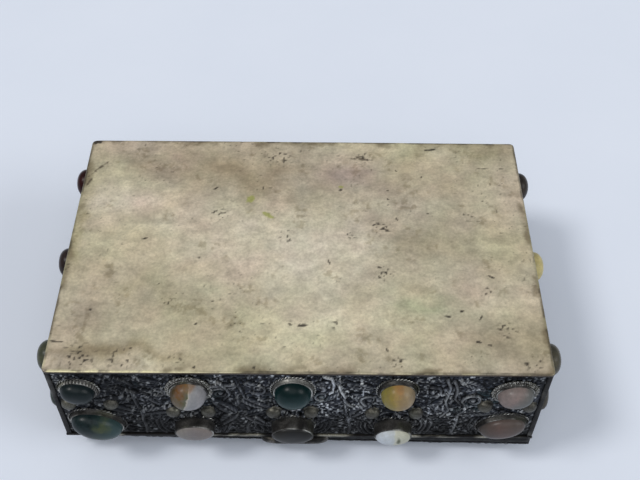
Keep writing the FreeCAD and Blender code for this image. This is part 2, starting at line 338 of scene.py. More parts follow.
def sheet_piece(name, grids, thick, matrix, tone, rub, edge_tone):
    """A closed sheet: a shaped and painted face over a grid, straight sides and a flat back of one colour."""
    face = np.stack(grids, -1)
    rows, columns = face.shape[:2]
    index = np.arange(rows * columns).reshape(rows, columns)
    rim = np.concatenate([index[0, :-1], index[:-1, -1], index[-1, :0:-1], index[:0:-1, 0]])
    face = face.reshape(-1, 3)
    back = face[rim].copy()
    back[:, 2] = -thick
    start, count = len(face), len(rim)
    faces = grid_faces(index)
    for step in range(count):
        following = (step + 1) % count
        faces.append([int(rim[step]), start + step, start + following, int(rim[following])])
    faces.append(list(range(start, start + count))[::-1])
    piece = new_object(name, moved(np.concatenate([face, back]), matrix), faces)
    edge_tones = np.broadcast_to(linear(*edge_tone), (count, 3))
    paint(piece, np.concatenate([tone.reshape(-1, 3), edge_tones]), np.append(rub.ravel(), np.zeros(count)))
    return piece


def dome(reaches, heights, top, half_length, half_width, segments):
    """Loops of points from a foot up to one top point, closed below, with their faces."""
    angles = np.linspace(0, 2 * np.pi, segments, endpoint=False)
    loops = [np.column_stack([half_length * reach * np.cos(angles), half_width * reach * np.sin(angles),
                              np.full(segments, height)]) for reach, height in zip(reaches, heights)]
    points = np.concatenate(loops + [np.array([[0, 0, top]])])
    faces = [face[::-1] for face in tube_faces(len(loops), segments, False)]
    last = (len(loops) - 1) * segments
    faces += [[last + index, last + (index + 1) % segments, len(points) - 1] for index in range(segments)]
    faces.append(list(range(segments))[::-1])
    return points, faces


# ---------------------------------------------------------------- embossed relief
class Relief:
    """A height field over a wall, built up from strands, leaves and grains. All in millimetres."""

    def __init__(self, low, high, step):
        self.u = np.linspace(low[0], high[0], round((high[0] - low[0]) / step) + 1)
        self.v = np.linspace(low[1], high[1], round((high[1] - low[1]) / step) + 1)
        self.height = np.zeros((len(self.v), len(self.u)))
        self.bright = np.zeros((len(self.v), len(self.u)))
        self.step = step

    def window(self, across, up, reach, grid=None):
        """The part of a grid within reach of a place, and the offsets of its points from that place."""
        grid = self.height if grid is None else grid
        first, last = np.searchsorted(self.u, (across - reach, across + reach))
        bottom, top = np.searchsorted(self.v, (up - reach, up + reach))
        patch = grid[bottom:top, first:last]
        return patch, (self.u[first:last] - across)[None, :], (self.v[bottom:top] - up)[:, None]

    def bump(self, across, up, radius, height, bright=0.0):
        """A round bump, kept where it is higher than what is there."""
        patch, du, dv = self.window(across, up, radius)
        if patch.size:
            inside = np.clip(1 - (du**2 + dv**2) / radius**2, 0, None)
            np.maximum(patch, height * np.sqrt(inside), out=patch)
            if bright:
                shine, _, _ = self.window(across, up, radius, self.bright)
                np.maximum(shine, bright * smooth(0.1, 0.5, inside), out=shine)

    def moat(self, across, up, radius):
        """Levels the ground close round a place, so what is laid there next stands clear of it."""
        for grid in (self.height, self.bright):
            patch, du, dv = self.window(across, up, radius, grid)
            patch *= smooth(0.75, 1.0, np.hypot(du, dv) / radius)

    def strand(self, points, radius, height, bright=0.0):
        """A rounded wire along a curve, a little unsteady, thinning towards its end."""
        points = np.asarray(points, float)
        lengths = np.concatenate([[0], np.cumsum(np.linalg.norm(np.diff(points, axis=0), axis=1))])
        places = np.arange(0, lengths[-1], self.step * 0.8)
        line = np.stack([np.interp(places, lengths, points[:, axis]) for axis in (0, 1)] + [places * 0], -1)
        shake = np.stack([cloud(line, 3.5, 7, 2), cloud(line, 3.5, 8, 2)], -1) - 0.5
        line = line[:, :2] + STRAND_SHAKE * shake
        for across, up in line:
            self.moat(across, up, radius + MOAT)
        for (across, up), share in zip(line, places / lengths[-1]):
            thin = 1 - 0.45 * share**2
            self.bump(across, up, radius * thin, height * thin, bright)

    def leaf(self, across, up, angle, length, width, height, bend, veined):
        """A pointed leaf from its stalk at (across, up), with a sunk midrib and slanting veins."""
        patch, du, dv = self.window(across, up, length * 1.1)
        if not patch.size:
            return
        along = (du * math.cos(angle) + dv * math.sin(angle)) / length
        aside = -du * math.sin(angle) + dv * math.cos(angle) - bend * along**2 * length
        half = width / 2 * np.sqrt(np.clip(np.sin(np.pi * np.clip(along, 0, 1) ** 0.8), 0, None)) + 1e-6
        inside = (along > 0) & (along < 1) & (abs(aside) < half)
        share = np.clip(abs(aside) / half, 0, 1)
        patch *= np.where((along > -0.04) & (along < 1.04), smooth(0, MOAT, abs(aside) - half), 1)
        veins = 1 - veined + veined * np.cos((along * length - abs(aside) * 1.3) * 4.6)
        shape = height * (1 - share**4) * (0.55 + 0.45 * smooth(0.0, 0.35, share)) * veins
        np.maximum(patch, np.where(inside, shape, 0), out=patch)

    def grains(self, rng):
        """Punched grains all over the ground, lower than the strands."""
        area = (self.u[-1] - self.u[0]) * (self.v[-1] - self.v[0])
        count = int(area * GRAINS_PER_SQUARE_MM)
        places = rng.random((count, 2)) * (self.u[-1] - self.u[0], self.v[-1] - self.v[0])
        sizes = rng.random((count, 2))
        shines = smooth(1 - BRIGHT_GRAINS, 1, rng.random(count))
        for (across, up), (wide, tall), shine in zip(places, sizes, shines):
            radius, height = self.step * (1.1 + 1.2 * wide), 0.1 + 0.38 * tall
            self.bump(self.u[0] + across, self.v[0] + up, radius, height, shine)

    def rosette(self, setting, rng):
        """Overlapping petals round a tall collar's foot."""
        for petal in range(PETALS):
            angle = 2 * math.pi * (petal + rng.uniform(-0.2, 0.2)) / PETALS
            cos, sin = math.cos(angle), math.sin(angle)
            edge = math.hypot(setting.half_width * cos, setting.half_length * sin)
            root = setting.half_length * setting.half_width / edge - 1.2
            way = setting.turn + angle
            across, up = setting.across + root * math.cos(way), setting.up + root * math.sin(way)
            self.leaf(across, up, way, 4.0 * rng.uniform(0.85, 1.15), 4.2, 1.0, 0.0, 0.25)

    def clear(self, setting, margin):
        """Levels the ground under a setting."""
        patch, du, dv = self.window(setting.across, setting.up, setting.half_length + margin + 1)
        cos, sin = math.cos(setting.turn), math.sin(setting.turn)
        along = (du * cos + dv * sin) / (setting.half_length + margin)
        aside = (dv * cos - du * sin) / (setting.half_width + margin)
        patch *= smooth(0.95, 1.05, np.hypot(along, aside))

    def softened(self, reach):
        """The height field averaged over a square of the given half size in cells."""
        padded = np.pad(self.height, reach, mode="edge")
        total = np.zeros_like(self.height)
        rows, columns = self.height.shape
        for down in range(2 * reach + 1):
            for right in range(2 * reach + 1):
                total += padded[down:down + rows, right:right + columns]
        return total / (2 * reach + 1) ** 2


def spiral(centre, start_radius, end_radius, start_angle, turns, steps=60):
    """Points along a spiral, from its outside to its middle."""
    shares = np.linspace(0, 1, steps)
    angles = start_angle + turns * 2 * np.pi * shares
    radii = start_radius + (end_radius - start_radius) * shares**0.8
    return np.stack([centre[0] + radii * np.cos(angles), centre[1] + radii * np.sin(angles)], -1)


def oval_arc(centre, half_width, half_height, start, end, steps=40):
    """Points along part of an ellipse, angles in degrees."""
    angles = np.radians(np.linspace(start, end, steps))
    return np.stack([centre[0] + half_width * np.cos(angles), centre[1] + half_height * np.sin(angles)], -1)


def sprig(relief, centre, low, high, half_gap, rng):
    """One panel: a bent stem with curling leaves, scrolls, sweeping lines by the rim and small curls."""
    bend = rng.uniform(-2.4, 2.4)

    def at(across, share):
        return (centre + across, low + (high - low) * share)

    for curl in range(CURLS_PER_PANEL):
        middle = at(rng.uniform(-0.85, 0.85) * half_gap, rng.uniform(0.04, 0.96))
        radius, start = rng.uniform(0.8, 2.6), rng.uniform(0, 360)
        arc = oval_arc(middle, radius, radius * rng.uniform(0.5, 1), start, start + rng.uniform(80, 240), 16)
        relief.strand(arc, rng.uniform(0.28, 0.44), rng.uniform(0.45, 0.8))
    stem = [at(bend * math.sin(share * 4 + bend), share) for share in np.linspace(0.97, 0.08, 30)]
    relief.strand(stem, PANEL_STRAND * 1.1, 0.8)
    for side in (-1, 1):
        facing = 180 if side > 0 else 0
        for ripple in range(3):
            spread = 8.6 + 1.5 * ripple + rng.uniform(-0.3, 0.3)
            start, end = facing - side * rng.uniform(25, 60), facing + side * rng.uniform(55, 95)
            arc = oval_arc(at(side * half_gap, 0.8), spread, spread * 0.84, start, end)
            relief.strand(arc, PANEL_STRAND * rng.uniform(0.7, 1.1), rng.uniform(0.55, 0.85))
        for share, reach, lean, ways in SPRIG_LEAVES:
            lean = math.radians(lean + rng.uniform(-20, 20))
            length = reach * rng.uniform(0.8, 1.2)
            root = at(side * rng.uniform(0.2, 2.2), share + rng.uniform(-0.07, 0.07))
            angle = ways * (math.pi / 2 - side * lean)
            relief.leaf(*root, angle, length, length * rng.uniform(0.36, 0.56), rng.uniform(0.75, 1.0),
                        rng.uniform(-0.35, 0.35), rng.uniform(0.08, 0.3))
        coil = at(side * rng.uniform(5.4, 7.6), rng.uniform(0.22, 0.42))
        turns = side * rng.choice((-1, 1)) * rng.uniform(0.9, 1.4)
        relief.strand(spiral(coil, rng.uniform(2.4, 3.8), 0.7, rng.uniform(0, 6), turns), PANEL_STRAND, 0.9)
        relief.bump(*coil, 0.9, 0.85)


def wall_tone(points, share_up, relief, seed, wear):
    """The blackened sheet's colours: blue-black ground, sooty hollows, silver rubbed over the high places."""

    def patch(size, offset, low, high):
        return smooth(low, high, cloud(points, size, seed + offset))

    convex = relief.height - relief.softened(3)
    patches = cloud(points, 9, seed)
    ground = mix(linear(30, 35, 43), linear(62, 66, 76), patches)
    ground = mix(ground, linear(48, 76, 76), 0.5 * patch(14, 5, 0.6, 0.8) * patch(1.6, 6, 0.3, 0.7))
    ground = mix(ground, linear(36, 34, 32), 0.85 * smooth(0.5, 0.85, share_up + 0.3 * (patches - 0.5)))
    ground = mix(ground, linear(74, 73, 74), 0.5 * smooth(0.4, 0.8, relief.height))
    ground = mix(ground, linear(8, 9, 11), smooth(0.07, -0.13, convex))
    worn = (0.25 + 0.75 * patch(16, 12, 0.3, 0.75)) * smooth(*wear.fade, share_up)
    for across, reach, strength in wear.soot:
        worn = worn * (1 - strength * np.exp(-(((points[..., 0] - across) / reach) ** 2)))
    crests = smooth(0.45, 0.75, relief.height) * smooth(0.02, 0.24, convex) * patch(3, 23, 0.2, 0.7)
    specks = smooth(0.7, 0.82, fuzz(points, 0.55, seed + 17)) * patch(4, 19, 0.35, 0.75)
    shine = np.max([
        0.7 * smooth(0.1, 0.4, convex) * patch(1.6, 9, 0.4, 0.85) * worn,
        wear.crests * crests * (0.08 + 0.92 * worn),
        wear.specks * specks * (0.12 + 0.88 * worn),
        wear.specks * relief.bright * patch(1.2, 21, 0.15, 0.5) * (0.2 + 0.8 * worn),
    ], axis=0)
    shine = np.minimum(shine, 1)
    silver = mix(linear(172, 177, 186), linear(246, 246, 240), cloud(points, 3, seed + 14))
    dimmed = ground * (0.3 + 0.75 * worn)[..., None]
    return mix(dimmed, silver, shine), shine


def emboss(relief, panels, settings, rng, seed, strokes=()):
    """Works the panels, the grained ground and the level places for the settings into a relief."""
    relief.grains(rng)
    for centre, low, high, half_gap in panels:
        sprig(relief, centre, low, high, half_gap, rng)
    for points, radius, bright in strokes:
        relief.strand(points, radius, STROKE_HEIGHT, bright)
    for setting in settings:
        if setting.collar > TALL_COLLAR:
            relief.rosette(setting, rng)
    for setting in settings:
        relief.clear(setting, 0.2 if setting.collar > TALL_COLLAR else 1.0)
    share_up = (relief.v - relief.v[0]) / (relief.v[-1] - relief.v[0])
    across, up = np.meshgrid(relief.u, relief.v)
    places = np.stack([across, up, np.full_like(across, seed * 7.7)], -1)
    relief.height += 0.2 * (cloud(places, 3.0, seed) - 0.5) + 0.3 * (cloud(places, 30, seed + 3, 2) - 0.5)
    return places, np.broadcast_to(share_up[:, None], across.shape)


def relief_piece(name, relief, places, share_up, wall, grid_u, grid_v, seed, wear):
    """A relief as a closed sheet with its colours kept on it."""
    tone, shine = wall_tone(places, share_up, relief, seed, wear)
    grids = (grid_u, grid_v, relief.height)
    return sheet_piece(name, grids, wall.thick, wall.matrix, tone, shine, SHEET_EDGE)


def embossed(wall, settings, seed, panels, wear, strokes=()):
    """One upright sheet with its relief worked round the given settings."""
    rng = np.random.default_rng(seed)
    relief = Relief(wall.low, wall.high, RELIEF_STEP)
    places, share_up = emboss(relief, panels, settings, rng, seed, strokes)
    across, up = places[..., 0], places[..., 1]
    edge = np.minimum(np.minimum(up - wall.low[1], wall.high[1] - up),
                      np.minimum(across - wall.low[0], wall.high[0] - across) - CORNER_BAND)
    relief.height *= smooth(-0.4, 2.2, edge)
    return relief_piece(wall.name + "_embossed_sheet", relief, places, share_up, wall, across, up, seed, wear)


# ---------------------------------------------------------------- base plate
Zone = namedtuple("Zone", "x y wide deep colour strength")
Mark = namedtuple("Mark", "x y long wide turn")

PLATE_COLOUR = (180, 169, 147)
PLATE_GAIN = np.array((1.39, 1.43, 1.5))
PLATE_ZONES = [
    Zone(0, 0, 34, 20, (198, 187, 168), 0.75),
    Zone(48, 37, 20, 8, (152, 137, 126), 0.85),
    Zone(14, 33, 30, 8, (150, 134, 112), 0.85),
    Zone(-19, 34, 11, 8, (155, 138, 130), 0.8),
    Zone(60, 20, 10, 6, (196, 184, 166), 0.7),
    Zone(-35, 3, 11, 9, (154, 144, 122), 0.8),
    Zone(52, -17, 16, 7, (160, 150, 122), 0.5),
    Zone(66, -28, 7, 6, (150, 136, 120), 0.7),
    Zone(55, -44, 20, 3, (138, 124, 98), 0.8),
    Zone(-38, -24, 6, 4, (158, 160, 132), 0.7),
    Zone(-62, 44, 20, 4, (156, 148, 118), 0.7),
    Zone(-45, 44, 8, 3, (138, 124, 98), 0.7),
    Zone(73, 10, 4, 26, (160, 150, 116), 0.7),
    Zone(-10, -32, 26, 9, (204, 196, 168), 0.75),
    Zone(-60, -38, 18, 9, (150, 140, 118), 0.7),
]
# Marks on the plate, as (x, y, long, wide, turn in degrees).
PLATE_PITS = [
    (29.5, 25.4, 1.6, 0.5, 35), (51, 2.7, 1.8, 0.5, 20), (32.7, -5.1, 1.0, 0.8, 30),
    (13.5, 26, 1.4, 0.4, 100), (-32.4, 34.3, 1.3, 0.4, 140), (-41, 31.5, 0.8, 0.4, 60),
    (-29, 25, 0.8, 0.5, 0), (-29, 21, 0.6, 0.4, 0), (-29, 18.5, 0.7, 0.4, 0),
    (-31.5, 12, 1.3, 0.4, 110), (-28, 8.5, 1.3, 0.5, 130), (-24, 9.5, 1.6, 0.4, 40),
    (-42, 14.7, 0.7, 0.5, 0), (-61, 20.4, 0.7, 0.5, 0), (-9, -6.7, 1.6, 0.4, 100),
    (-25, -8.6, 1.2, 0.6, 160), (-27, -10.6, 1.3, 0.6, 110), (-60.4, -12.2, 2.2, 0.5, 155),
    (-45, -27.5, 1.6, 0.9, 170), (-49.7, -25.6, 1.5, 0.8, 10), (-55.2, -28.2, 2.0, 0.6, 60),
    (-53.7, -37, 1.5, 0.8, 170), (-57, -38, 1.2, 0.5, 160), (-26, -40, 1.4, 0.6, 120),
    (3, -31, 1.6, 0.6, 150), (-0.7, -31.4, 2.4, 0.8, 5), (44.5, -16, 0.8, 0.4, 60),
    (40.6, -23.4, 1.0, 0.4, 60), (64, -26, 0.8, 0.5, 0), (31.4, -31, 0.8, 0.6, 40),
    (50, -40, 0.8, 0.6, 0), (30.6, -46.5, 0.7, 0.9, 0), (13.1, -46.6, 0.6, 0.8, 0),
    (-13.1, 25, 0.9, 0.7, 0), (72, -37.8, 4.6, 0.5, 175), (73.6, 47.6, 3.2, 1.6, 0),
    (-62, 35.7, 4.2, 0.25, 2), (-69, 35.7, 1.6, 0.25, 2), (-45, 45, 3.4, 0.9, 10),
]
PLATE_STAINS = [(70.5, 34.5, 9.5, 0.7, 52), (73.0, 28.0, 3.4, 0.7, 70), (-18, 40.6, 8.0, 1.4, 170)]
PLATE_DABS = [(17.6, 20.4, 3.0, 2.2, 80), (11.4, 13.4, 4.6, 1.3, 145), (-13.1, 26.4, 1.4, 1.0, 0)]
# Groups of dark flecks, as (x, y, reach).
PIT_CLUSTERS = [
    (8.5, 40.6, 6), (27.6, 13.5, 4), (4.8, 4.3, 3.5), (41.6, -22.9, 3), (18.9, -32.2, 3), (26, -23.3, 3),
    (65, -43.4, 7), (52.5, -43.9, 5), (36.6, -45.2, 4), (9.3, -46, 3), (75.8, 21.6, 3), (74, -9.6, 2),
    (-20.6, 40.7, 4), (-16.2, 5.8, 3.5), (-26.6, 8, 4), (-26.4, -11, 4), (-10, -30.3, 3), (-62.7, -32.6, 4),
    (-69, -44.3, 4), (-57.9, -17.9, 3), (-55.4, 13.5, 3), (-29.4, -44.7, 3), (3, -31.2, 2),
]


def mark_share(x, y, places, mark, seed, ragged):
    """How strongly each point falls within a small ragged mark. Its turn is seen from below, up from -X."""
    cos, sin = -math.cos(math.radians(mark.turn)), math.sin(math.radians(mark.turn))
    along = ((x - mark.x) * cos + (y - mark.y) * sin) / (mark.long / 2)
    aside = ((y - mark.y) * cos - (x - mark.x) * sin) / (mark.wide / 2)
    edge = np.hypot(along, aside) + ragged * (fuzz(places, 0.9, seed) - 0.5)
    return smooth(1.4, 0.85, edge)


def plate_tone(x, y, half_x, half_y):
    """The worn underside: warm metal with stains, specks, pits and dabs of green, and an edge painted dark as
    shade with a bright line that is partly rubbed metal and partly painted highlight.
    """
    places = np.stack([x, y, np.zeros_like(x)], -1)

    def patch(size, seed, low, high):
        return smooth(low, high, cloud(places, size, seed))

    zone_x, zone_y = x + 14 * (cloud(places, 16, 5) - 0.5), y + 12 * (cloud(places, 16, 6) - 0.5)
    tone = np.broadcast_to(linear(*PLATE_COLOUR), x.shape + (3,)).copy()
    for zone in PLATE_ZONES:
        reach = ((zone_x - zone.x) / zone.wide) ** 2 + ((zone_y - zone.y) / zone.deep) ** 2
        tone = mix(tone, linear(*zone.colour), zone.strength * np.exp(-reach))
    tone = PLATE_GAIN * tone * (0.86 + 0.28 * cloud(places, 22, 11))[..., None]
    tone = mix(tone, tone * np.array([0.95, 1.0, 0.86]), cloud(places, 18, 15))
    tone = mix(tone, tone * np.array([1.06, 0.97, 0.98]), cloud(places, 9, 17))
    tone = tone * (0.88 + 0.24 * cloud(places, 3.5, 21))[..., None]
    for stretch, size, seed in (((0.75, 1.2, 1), 2.4, 23), ((0.85, 1.15, 1), 1.3, 25)):
        tone = tone * (0.9 + 0.2 * cloud(places * np.array(stretch), size, seed))[..., None]
    smudges = patch(6, 27, 0.62, 0.86) * patch(1.3, 29, 0.45, 0.75)
    tone = mix(tone, tone * np.array([0.74, 0.72, 0.68]), smudges)
    pits = 0.7 * smooth(0.88, 0.98, fuzz(places, 0.7, 31)) * patch(17, 33, 0.42, 0.75)
    flecks = smooth(0.68, 0.86, fuzz(places, 0.75, 37))
    for cluster_x, cluster_y, reach in PIT_CLUSTERS:
        near = np.exp(-(((x - cluster_x) ** 2 + (y - cluster_y) ** 2) / reach**2))
        pits = np.maximum(pits, flecks * smooth(0.3, 0.85, near))
    for number, pit in enumerate(PLATE_PITS):
        pits = np.maximum(pits, mark_share(x, y, places, Mark(*pit), 100 + number, 0.9))
    edge = np.minimum(half_x - abs(x), half_y - abs(y))
    grime = smooth(3.2, 0.6, edge + 2.4 * (cloud(places, 5, 41) - 0.5)) * patch(7, 43, 0.35, 0.75)
    tone = mix(tone, linear(120, 106, 80), 0.75 * grime)
    for number, stain in enumerate(PLATE_STAINS):
        share = mark_share(x, y, places, Mark(*stain), 200 + number, 1.2)
        tone = mix(tone, linear(84, 72, 58), 0.8 * share * patch(1.6, 47, 0.25, 0.5))
    for number, dab in enumerate(PLATE_DABS):
        share = mark_share(x, y, places, Mark(*dab), 300 + number, 0.8)
        tone = mix(tone, linear(168, 172, 84), 0.75 * share)
    tone = mix(tone, linear(46, 40, 34), 0.9 * pits)
    # Painted shade and highlight on the eased border: it is darkened where it turns down, and the bright line
    # at the front left is partly rubbed metal, partly painted highlight.
    bright = smooth(0.95, 0.4, edge + 0.6 * (cloud(places, 4, 51) - 0.5))
    worn = smooth(18, 45, x) * smooth(6, 2, y + half_y) * patch(4, 55, 0.1, 0.4)
    worn = np.maximum(worn, 0.35 * patch(5, 53, 0.35, 0.8))
    tone = mix(tone, tone * 0.4, bright * (1 - worn))
    tone = mix(tone, PLATE_GAIN * linear(204, 194, 152), 0.85 * bright * worn)
    return tone, pits, bright


def round_corners(grid_u, grid_v, half_u, half_v, radius):
    """Moves the points of a rectangle's corners onto a rounded outline."""
    over_u = np.clip(abs(grid_u) - (half_u - radius), 0, None)
    over_v = np.clip(abs(grid_v) - (half_v - radius), 0, None)
    far = np.hypot(over_u, over_v)
    share = np.where(far > TINY, np.maximum(over_u, over_v) / np.maximum(far, TINY), 1)
    base_u, base_v = np.minimum(abs(grid_u), half_u - radius), np.minimum(abs(grid_v), half_v - radius)
    return np.sign(grid_u) * (base_u + over_u * share), np.sign(grid_v) * (base_v + over_v * share)


def base_sheet():
    """The bottom sheet, faintly wavy, with eased edges painted with shade, and a bright edge line that is
    partly rubbed metal and partly painted highlight.
    """
    low, high = node_box("base_plate")

    def line(half):
        inset = half - PLATE_EASE_WIDTH
        inner = np.linspace(-inset, inset, round(2 * half / PLATE_STEP))
        eased = half - np.array(PLATE_EASE_INSETS)
        return np.concatenate([-eased, inner, eased[::-1]])

    grid_u, grid_v = np.meshgrid(line(high.x), line(high.y))
    rows, columns = grid_u.shape
    row, column = np.arange(rows)[:, None], np.arange(columns)[None, :]
    ring = np.minimum(np.minimum(row, rows - 1 - row), np.minimum(column, columns - 1 - column))
    drop = np.interp(ring, range(len(PLATE_EASE_DROPS)), PLATE_EASE_DROPS)
    grid_u, grid_v = round_corners(grid_u, grid_v, high.x, high.y, PLATE_CORNER_RADIUS)
    # The sheet's outside faces down, so across stays +X and up runs along -Y.
    tone, pits, bright = plate_tone(grid_u, -grid_v, high.x, high.y)
    # Painted shade: the outermost line of points, where the edge turns down, is dark brown.
    tone[ring == 0] = linear(74, 60, 46)
    places = np.stack([grid_u, grid_v, np.zeros_like(grid_u)], -1)
    wave = 0.14 * (cloud(places, 34, 61, 2) - 1) - 0.02 * cloud(places, 4, 63)
    height = np.minimum(wave - drop - 0.12 * pits, 0)
    matrix = wall_frame(Vector((1, 0, 0)), Vector((0, -1, 0)), Vector((0, 0, -1)), Vector((0, 0, low.z)))
    rub = bright + 0.25 * cloud(places, 12, 65)
    grids = (grid_u, grid_v, height)
    # The sides are painted near black: painted shade on the plate's thickness.
    return sheet_piece("base_sheet", grids, high.z - low.z, matrix, tone, rub, (34, 28, 25))


# ---------------------------------------------------------------- settings
def ring_points(setting, offsets, heights, segments):
    """Loops round a stone, each its own distance outside the stone's edge, with the ways outwards."""
    angles = np.linspace(0, 2 * np.pi, segments, endpoint=False)
    edge = np.stack([setting.half_length * np.cos(angles), setting.half_width * np.sin(angles)], -1)
    outward = np.stack([setting.half_width * np.cos(angles), setting.half_length * np.sin(angles)], -1)
    outward /= np.linalg.norm(outward, axis=1, keepdims=True)
    loops = []
    for offset, height in zip(offsets, heights):
        loops.append(np.column_stack([edge + outward * offset, np.full(segments, height)]))
    return np.stack(loops, 1), angles, outward


def place(points, setting, wall):
    """Points made round the origin, carried to a setting's place on its wall."""
    cos, sin = math.cos(setting.turn), math.sin(setting.turn)
    points = np.asarray(points).reshape(-1, 3)
    across = points[:, 0] * cos - points[:, 1] * sin + setting.across
    up = points[:, 0] * sin + points[:, 1] * cos + setting.up
    return moved(np.column_stack([across, up, points[:, 2]]), wall.matrix)


def setting_tone(points, bright, seed):
    """Grey-brown metal with sooty patches, silver where bright is 1."""
    dull = mix(linear(46, 45, 44), linear(84, 82, 80), cloud(points, 2.2, seed))
    dull = mix(dull, linear(72, 72, 62), smooth(0.5, 0.9, cloud(points, 5, seed + 3)))
    return mix(dull, linear(228, 227, 220), bright)


def foot_of(setting):
    """How far a collar's foot spreads past the stone: the tall ones are almost straight."""
    return 0.6 if setting.collar > TALL_COLLAR else 0.8


def girth(setting, offset):
    """The way round a stone at a distance outside its edge, nearly."""
    return math.pi * (setting.half_length + setting.half_width + 2 * offset)


def add_bezel(batch, setting, wall, style, seed):
    """The collar round a stone: a spread foot, a waist and a lip turned over the stone's edge."""
    tall = setting.collar
    segments = RING_SEGMENTS * (2 if style == "fluted" else 1)
    shares = np.array([0.0, 0.12, 0.3, 0.5, 0.7, 0.86, 0.96, 1.0])
    flare = BEZEL_WALL + BEZEL_GAP + (foot_of(setting) - BEZEL_WALL) * (1 - shares) ** 1.6
    offsets = [BEZEL_GAP, *flare, BEZEL_WALL * 0.35, -0.12, -0.16, BEZEL_GAP]
    heights = [0.02, *(shares * tall * 0.985), tall, tall * 0.985, tall - 0.16, tall - LIP - 0.1]
    bright = np.array([0, 0.05, 0.1, 0.05, 0.0, 0.05, 0.15, 0.35, 0.5, 0.55, 0.25, 0, 0])
    points, angles, _ = ring_points(setting, offsets, heights, segments)
    loops = points.shape[1]
    if style == "fluted":
        flute = 0.5 + 0.5 * np.cos(angles * FLUTES)[:, None]
        lift = np.interp(np.arange(loops), [0, 2, 5, 8, loops - 1], [0, 0.4, 1, 0.8, 0])
        radial = points[..., :2] / np.linalg.norm(points[..., :2], axis=-1, keepdims=True)
        points[..., :2] += radial * (FLUTE_DEPTH * flute * lift)[..., None]
        shine = 0.5 * flute**2 * lift
    else:
        dents = cloud(points.reshape(-1, 3) + seed * 3.1, 1.8, seed).reshape(segments, loops) - 0.5
        points[..., 2] += 0.12 * dents * (np.asarray(heights) > 0.3)
        points[..., :2] *= 1 + 0.012 * dents[..., None]
        shine = np.full((segments, loops), 0.3 if style == "rope" else 0.0)
    flat = points.reshape(-1, 3) + seed
    worn = cloud(flat, 2.6, seed + 7).reshape(segments, loops)
    shine = np.clip(shine + bright * smooth(0.35, 0.8, worn), 0, 1).ravel()
    faces = tube_faces(segments, loops, True)
    batch.add(place(points, setting, wall), faces, setting_tone(flat, shine * 0.8, seed), shine)


def add_rope(batch, setting, wall, offset, radius, seed, bright):
    """Twisted wire laid round a setting's foot."""
    twists = round(girth(setting, offset) / (radius * 3.6))
    segments, sides = twists * 7, 10
    points, angles, outward = ring_points(setting, [offset], [0.0], segments)
    round_angle = np.linspace(0, 2 * np.pi, sides, endpoint=False)
    lobes = np.cos(2 * (round_angle[None, :] - 0.5 * angles[:, None] * twists))
    thick = radius * (0.84 + 0.26 * lobes)
    shape = np.zeros((segments, sides, 3))
    shape[..., :2] = points[:, :, :2] + outward[:, None, :] * (thick * np.cos(round_angle))[..., None]
    shape[..., 2] = radius + thick * np.sin(round_angle)
    patches = cloud(shape.reshape(-1, 3) + seed, 3.0, seed + 2)
    shine = smooth(0.1, 0.9, lobes.ravel()) * smooth(0.5 - 0.3 * bright, 0.9 - 0.3 * bright, patches)
    tone = setting_tone(shape.reshape(-1, 3) + seed, shine, seed)
    batch.add(place(shape, setting, wall), tube_faces(segments, sides, True), tone, shine)


def grain_points(radius, rng):
    """A low-sided ball, a little out of round."""
    shape = bmesh.new()
    bmesh.ops.create_icosphere(shape, subdivisions=2, radius=radius)
    points = np.array([vertex.co for vertex in shape.verts]) * rng.uniform(0.85, 1.15, 3)
    faces = [[vertex.index for vertex in face.verts] for face in shape.faces]
    shape.free()
    return points, faces


def add_grains(batch, setting, wall, rng):
    """Rows of tiny grains soldered round a setting."""
    for offset, height, radius in GRAIN_ROWS:
        count = int(girth(setting, offset) / (radius * 1.9))
        centres, _, _ = ring_points(setting, [offset], [height], count)
        for centre in centres[:, 0, :]:
            points, faces = grain_points(radius * rng.uniform(0.75, 1.2), rng)
            points = points + centre + rng.uniform(-0.08, 0.08, 3) + (0, 0, radius * 0.6)
            raised = smooth(0.0, radius, points[:, 2] - centre[2] - radius * 0.5)
            shine = raised * rng.uniform(0.1, 1) * GRAIN_SHINE
            batch.add(place(points, setting, wall), faces, setting_tone(points, shine, 17), shine)


def add_ball(batch, points_of_ball, wall, seed):
    """A smooth boss with a flattened crown and a little solder at its foot."""
    centre = middle_of(points_of_ball)
    radius = BALL_SPREAD * np.ptp(points_of_ball[:, 0]) / 2
    top = points_of_ball[:, 2].max()
    quarter = np.linspace(0, 1, 9)[:-1] * np.pi / 2
    heights = np.concatenate([[0.0, 0.12], 0.2 + (top - 0.2) * np.sin(quarter) ** 0.9])
    reaches = np.concatenate([[radius * 1.12, radius * 1.08], radius * np.cos(quarter) ** 0.8])
    points, faces = dome(reaches, heights, top, 1, 1, BALL_SEGMENTS)
    points[:, :2] *= 1 + 0.06 * (cloud(points + seed * 5.0, 2.5, seed)[:, None] - 0.5)
    tone = mix(linear(62, 59, 56), linear(106, 105, 95), cloud(points + seed * 3.7, 2.6, 71))
    spot = Setting(centre[0], centre[1], 1, 1, seed * 0.7, 0, 0)
    batch.add(place(points, spot, wall), faces, tone, 0.2 * cloud(points + seed, 1.2, 73))


def stone_points(setting, seed):
    """A cabochon's points in its own millimetres: a straight girdle and a polished dome."""
    shoulder = setting.collar - LIP
    full = 2 / DOME_FULLNESS
    quarter = np.linspace(0, 1, STONE_RINGS + 1)[:-1] * np.pi / 2
    reaches = [1.0, 1.0, *np.cos(quarter) ** full]
    heights = [0.15, shoulder * 0.6, *(shoulder + (setting.top - shoulder) * np.sin(quarter) ** full)]
    halves = (setting.half_length, setting.half_width)
    points, faces = dome(reaches, heights, setting.top, *halves, STONE_SEGMENTS)
    uneven = cloud(points + seed * 9.1, 6, seed, 2) - 0.5
    points[:, 2] += 0.2 * uneven * smooth(shoulder, setting.top, points[:, 2])
    return points, faces


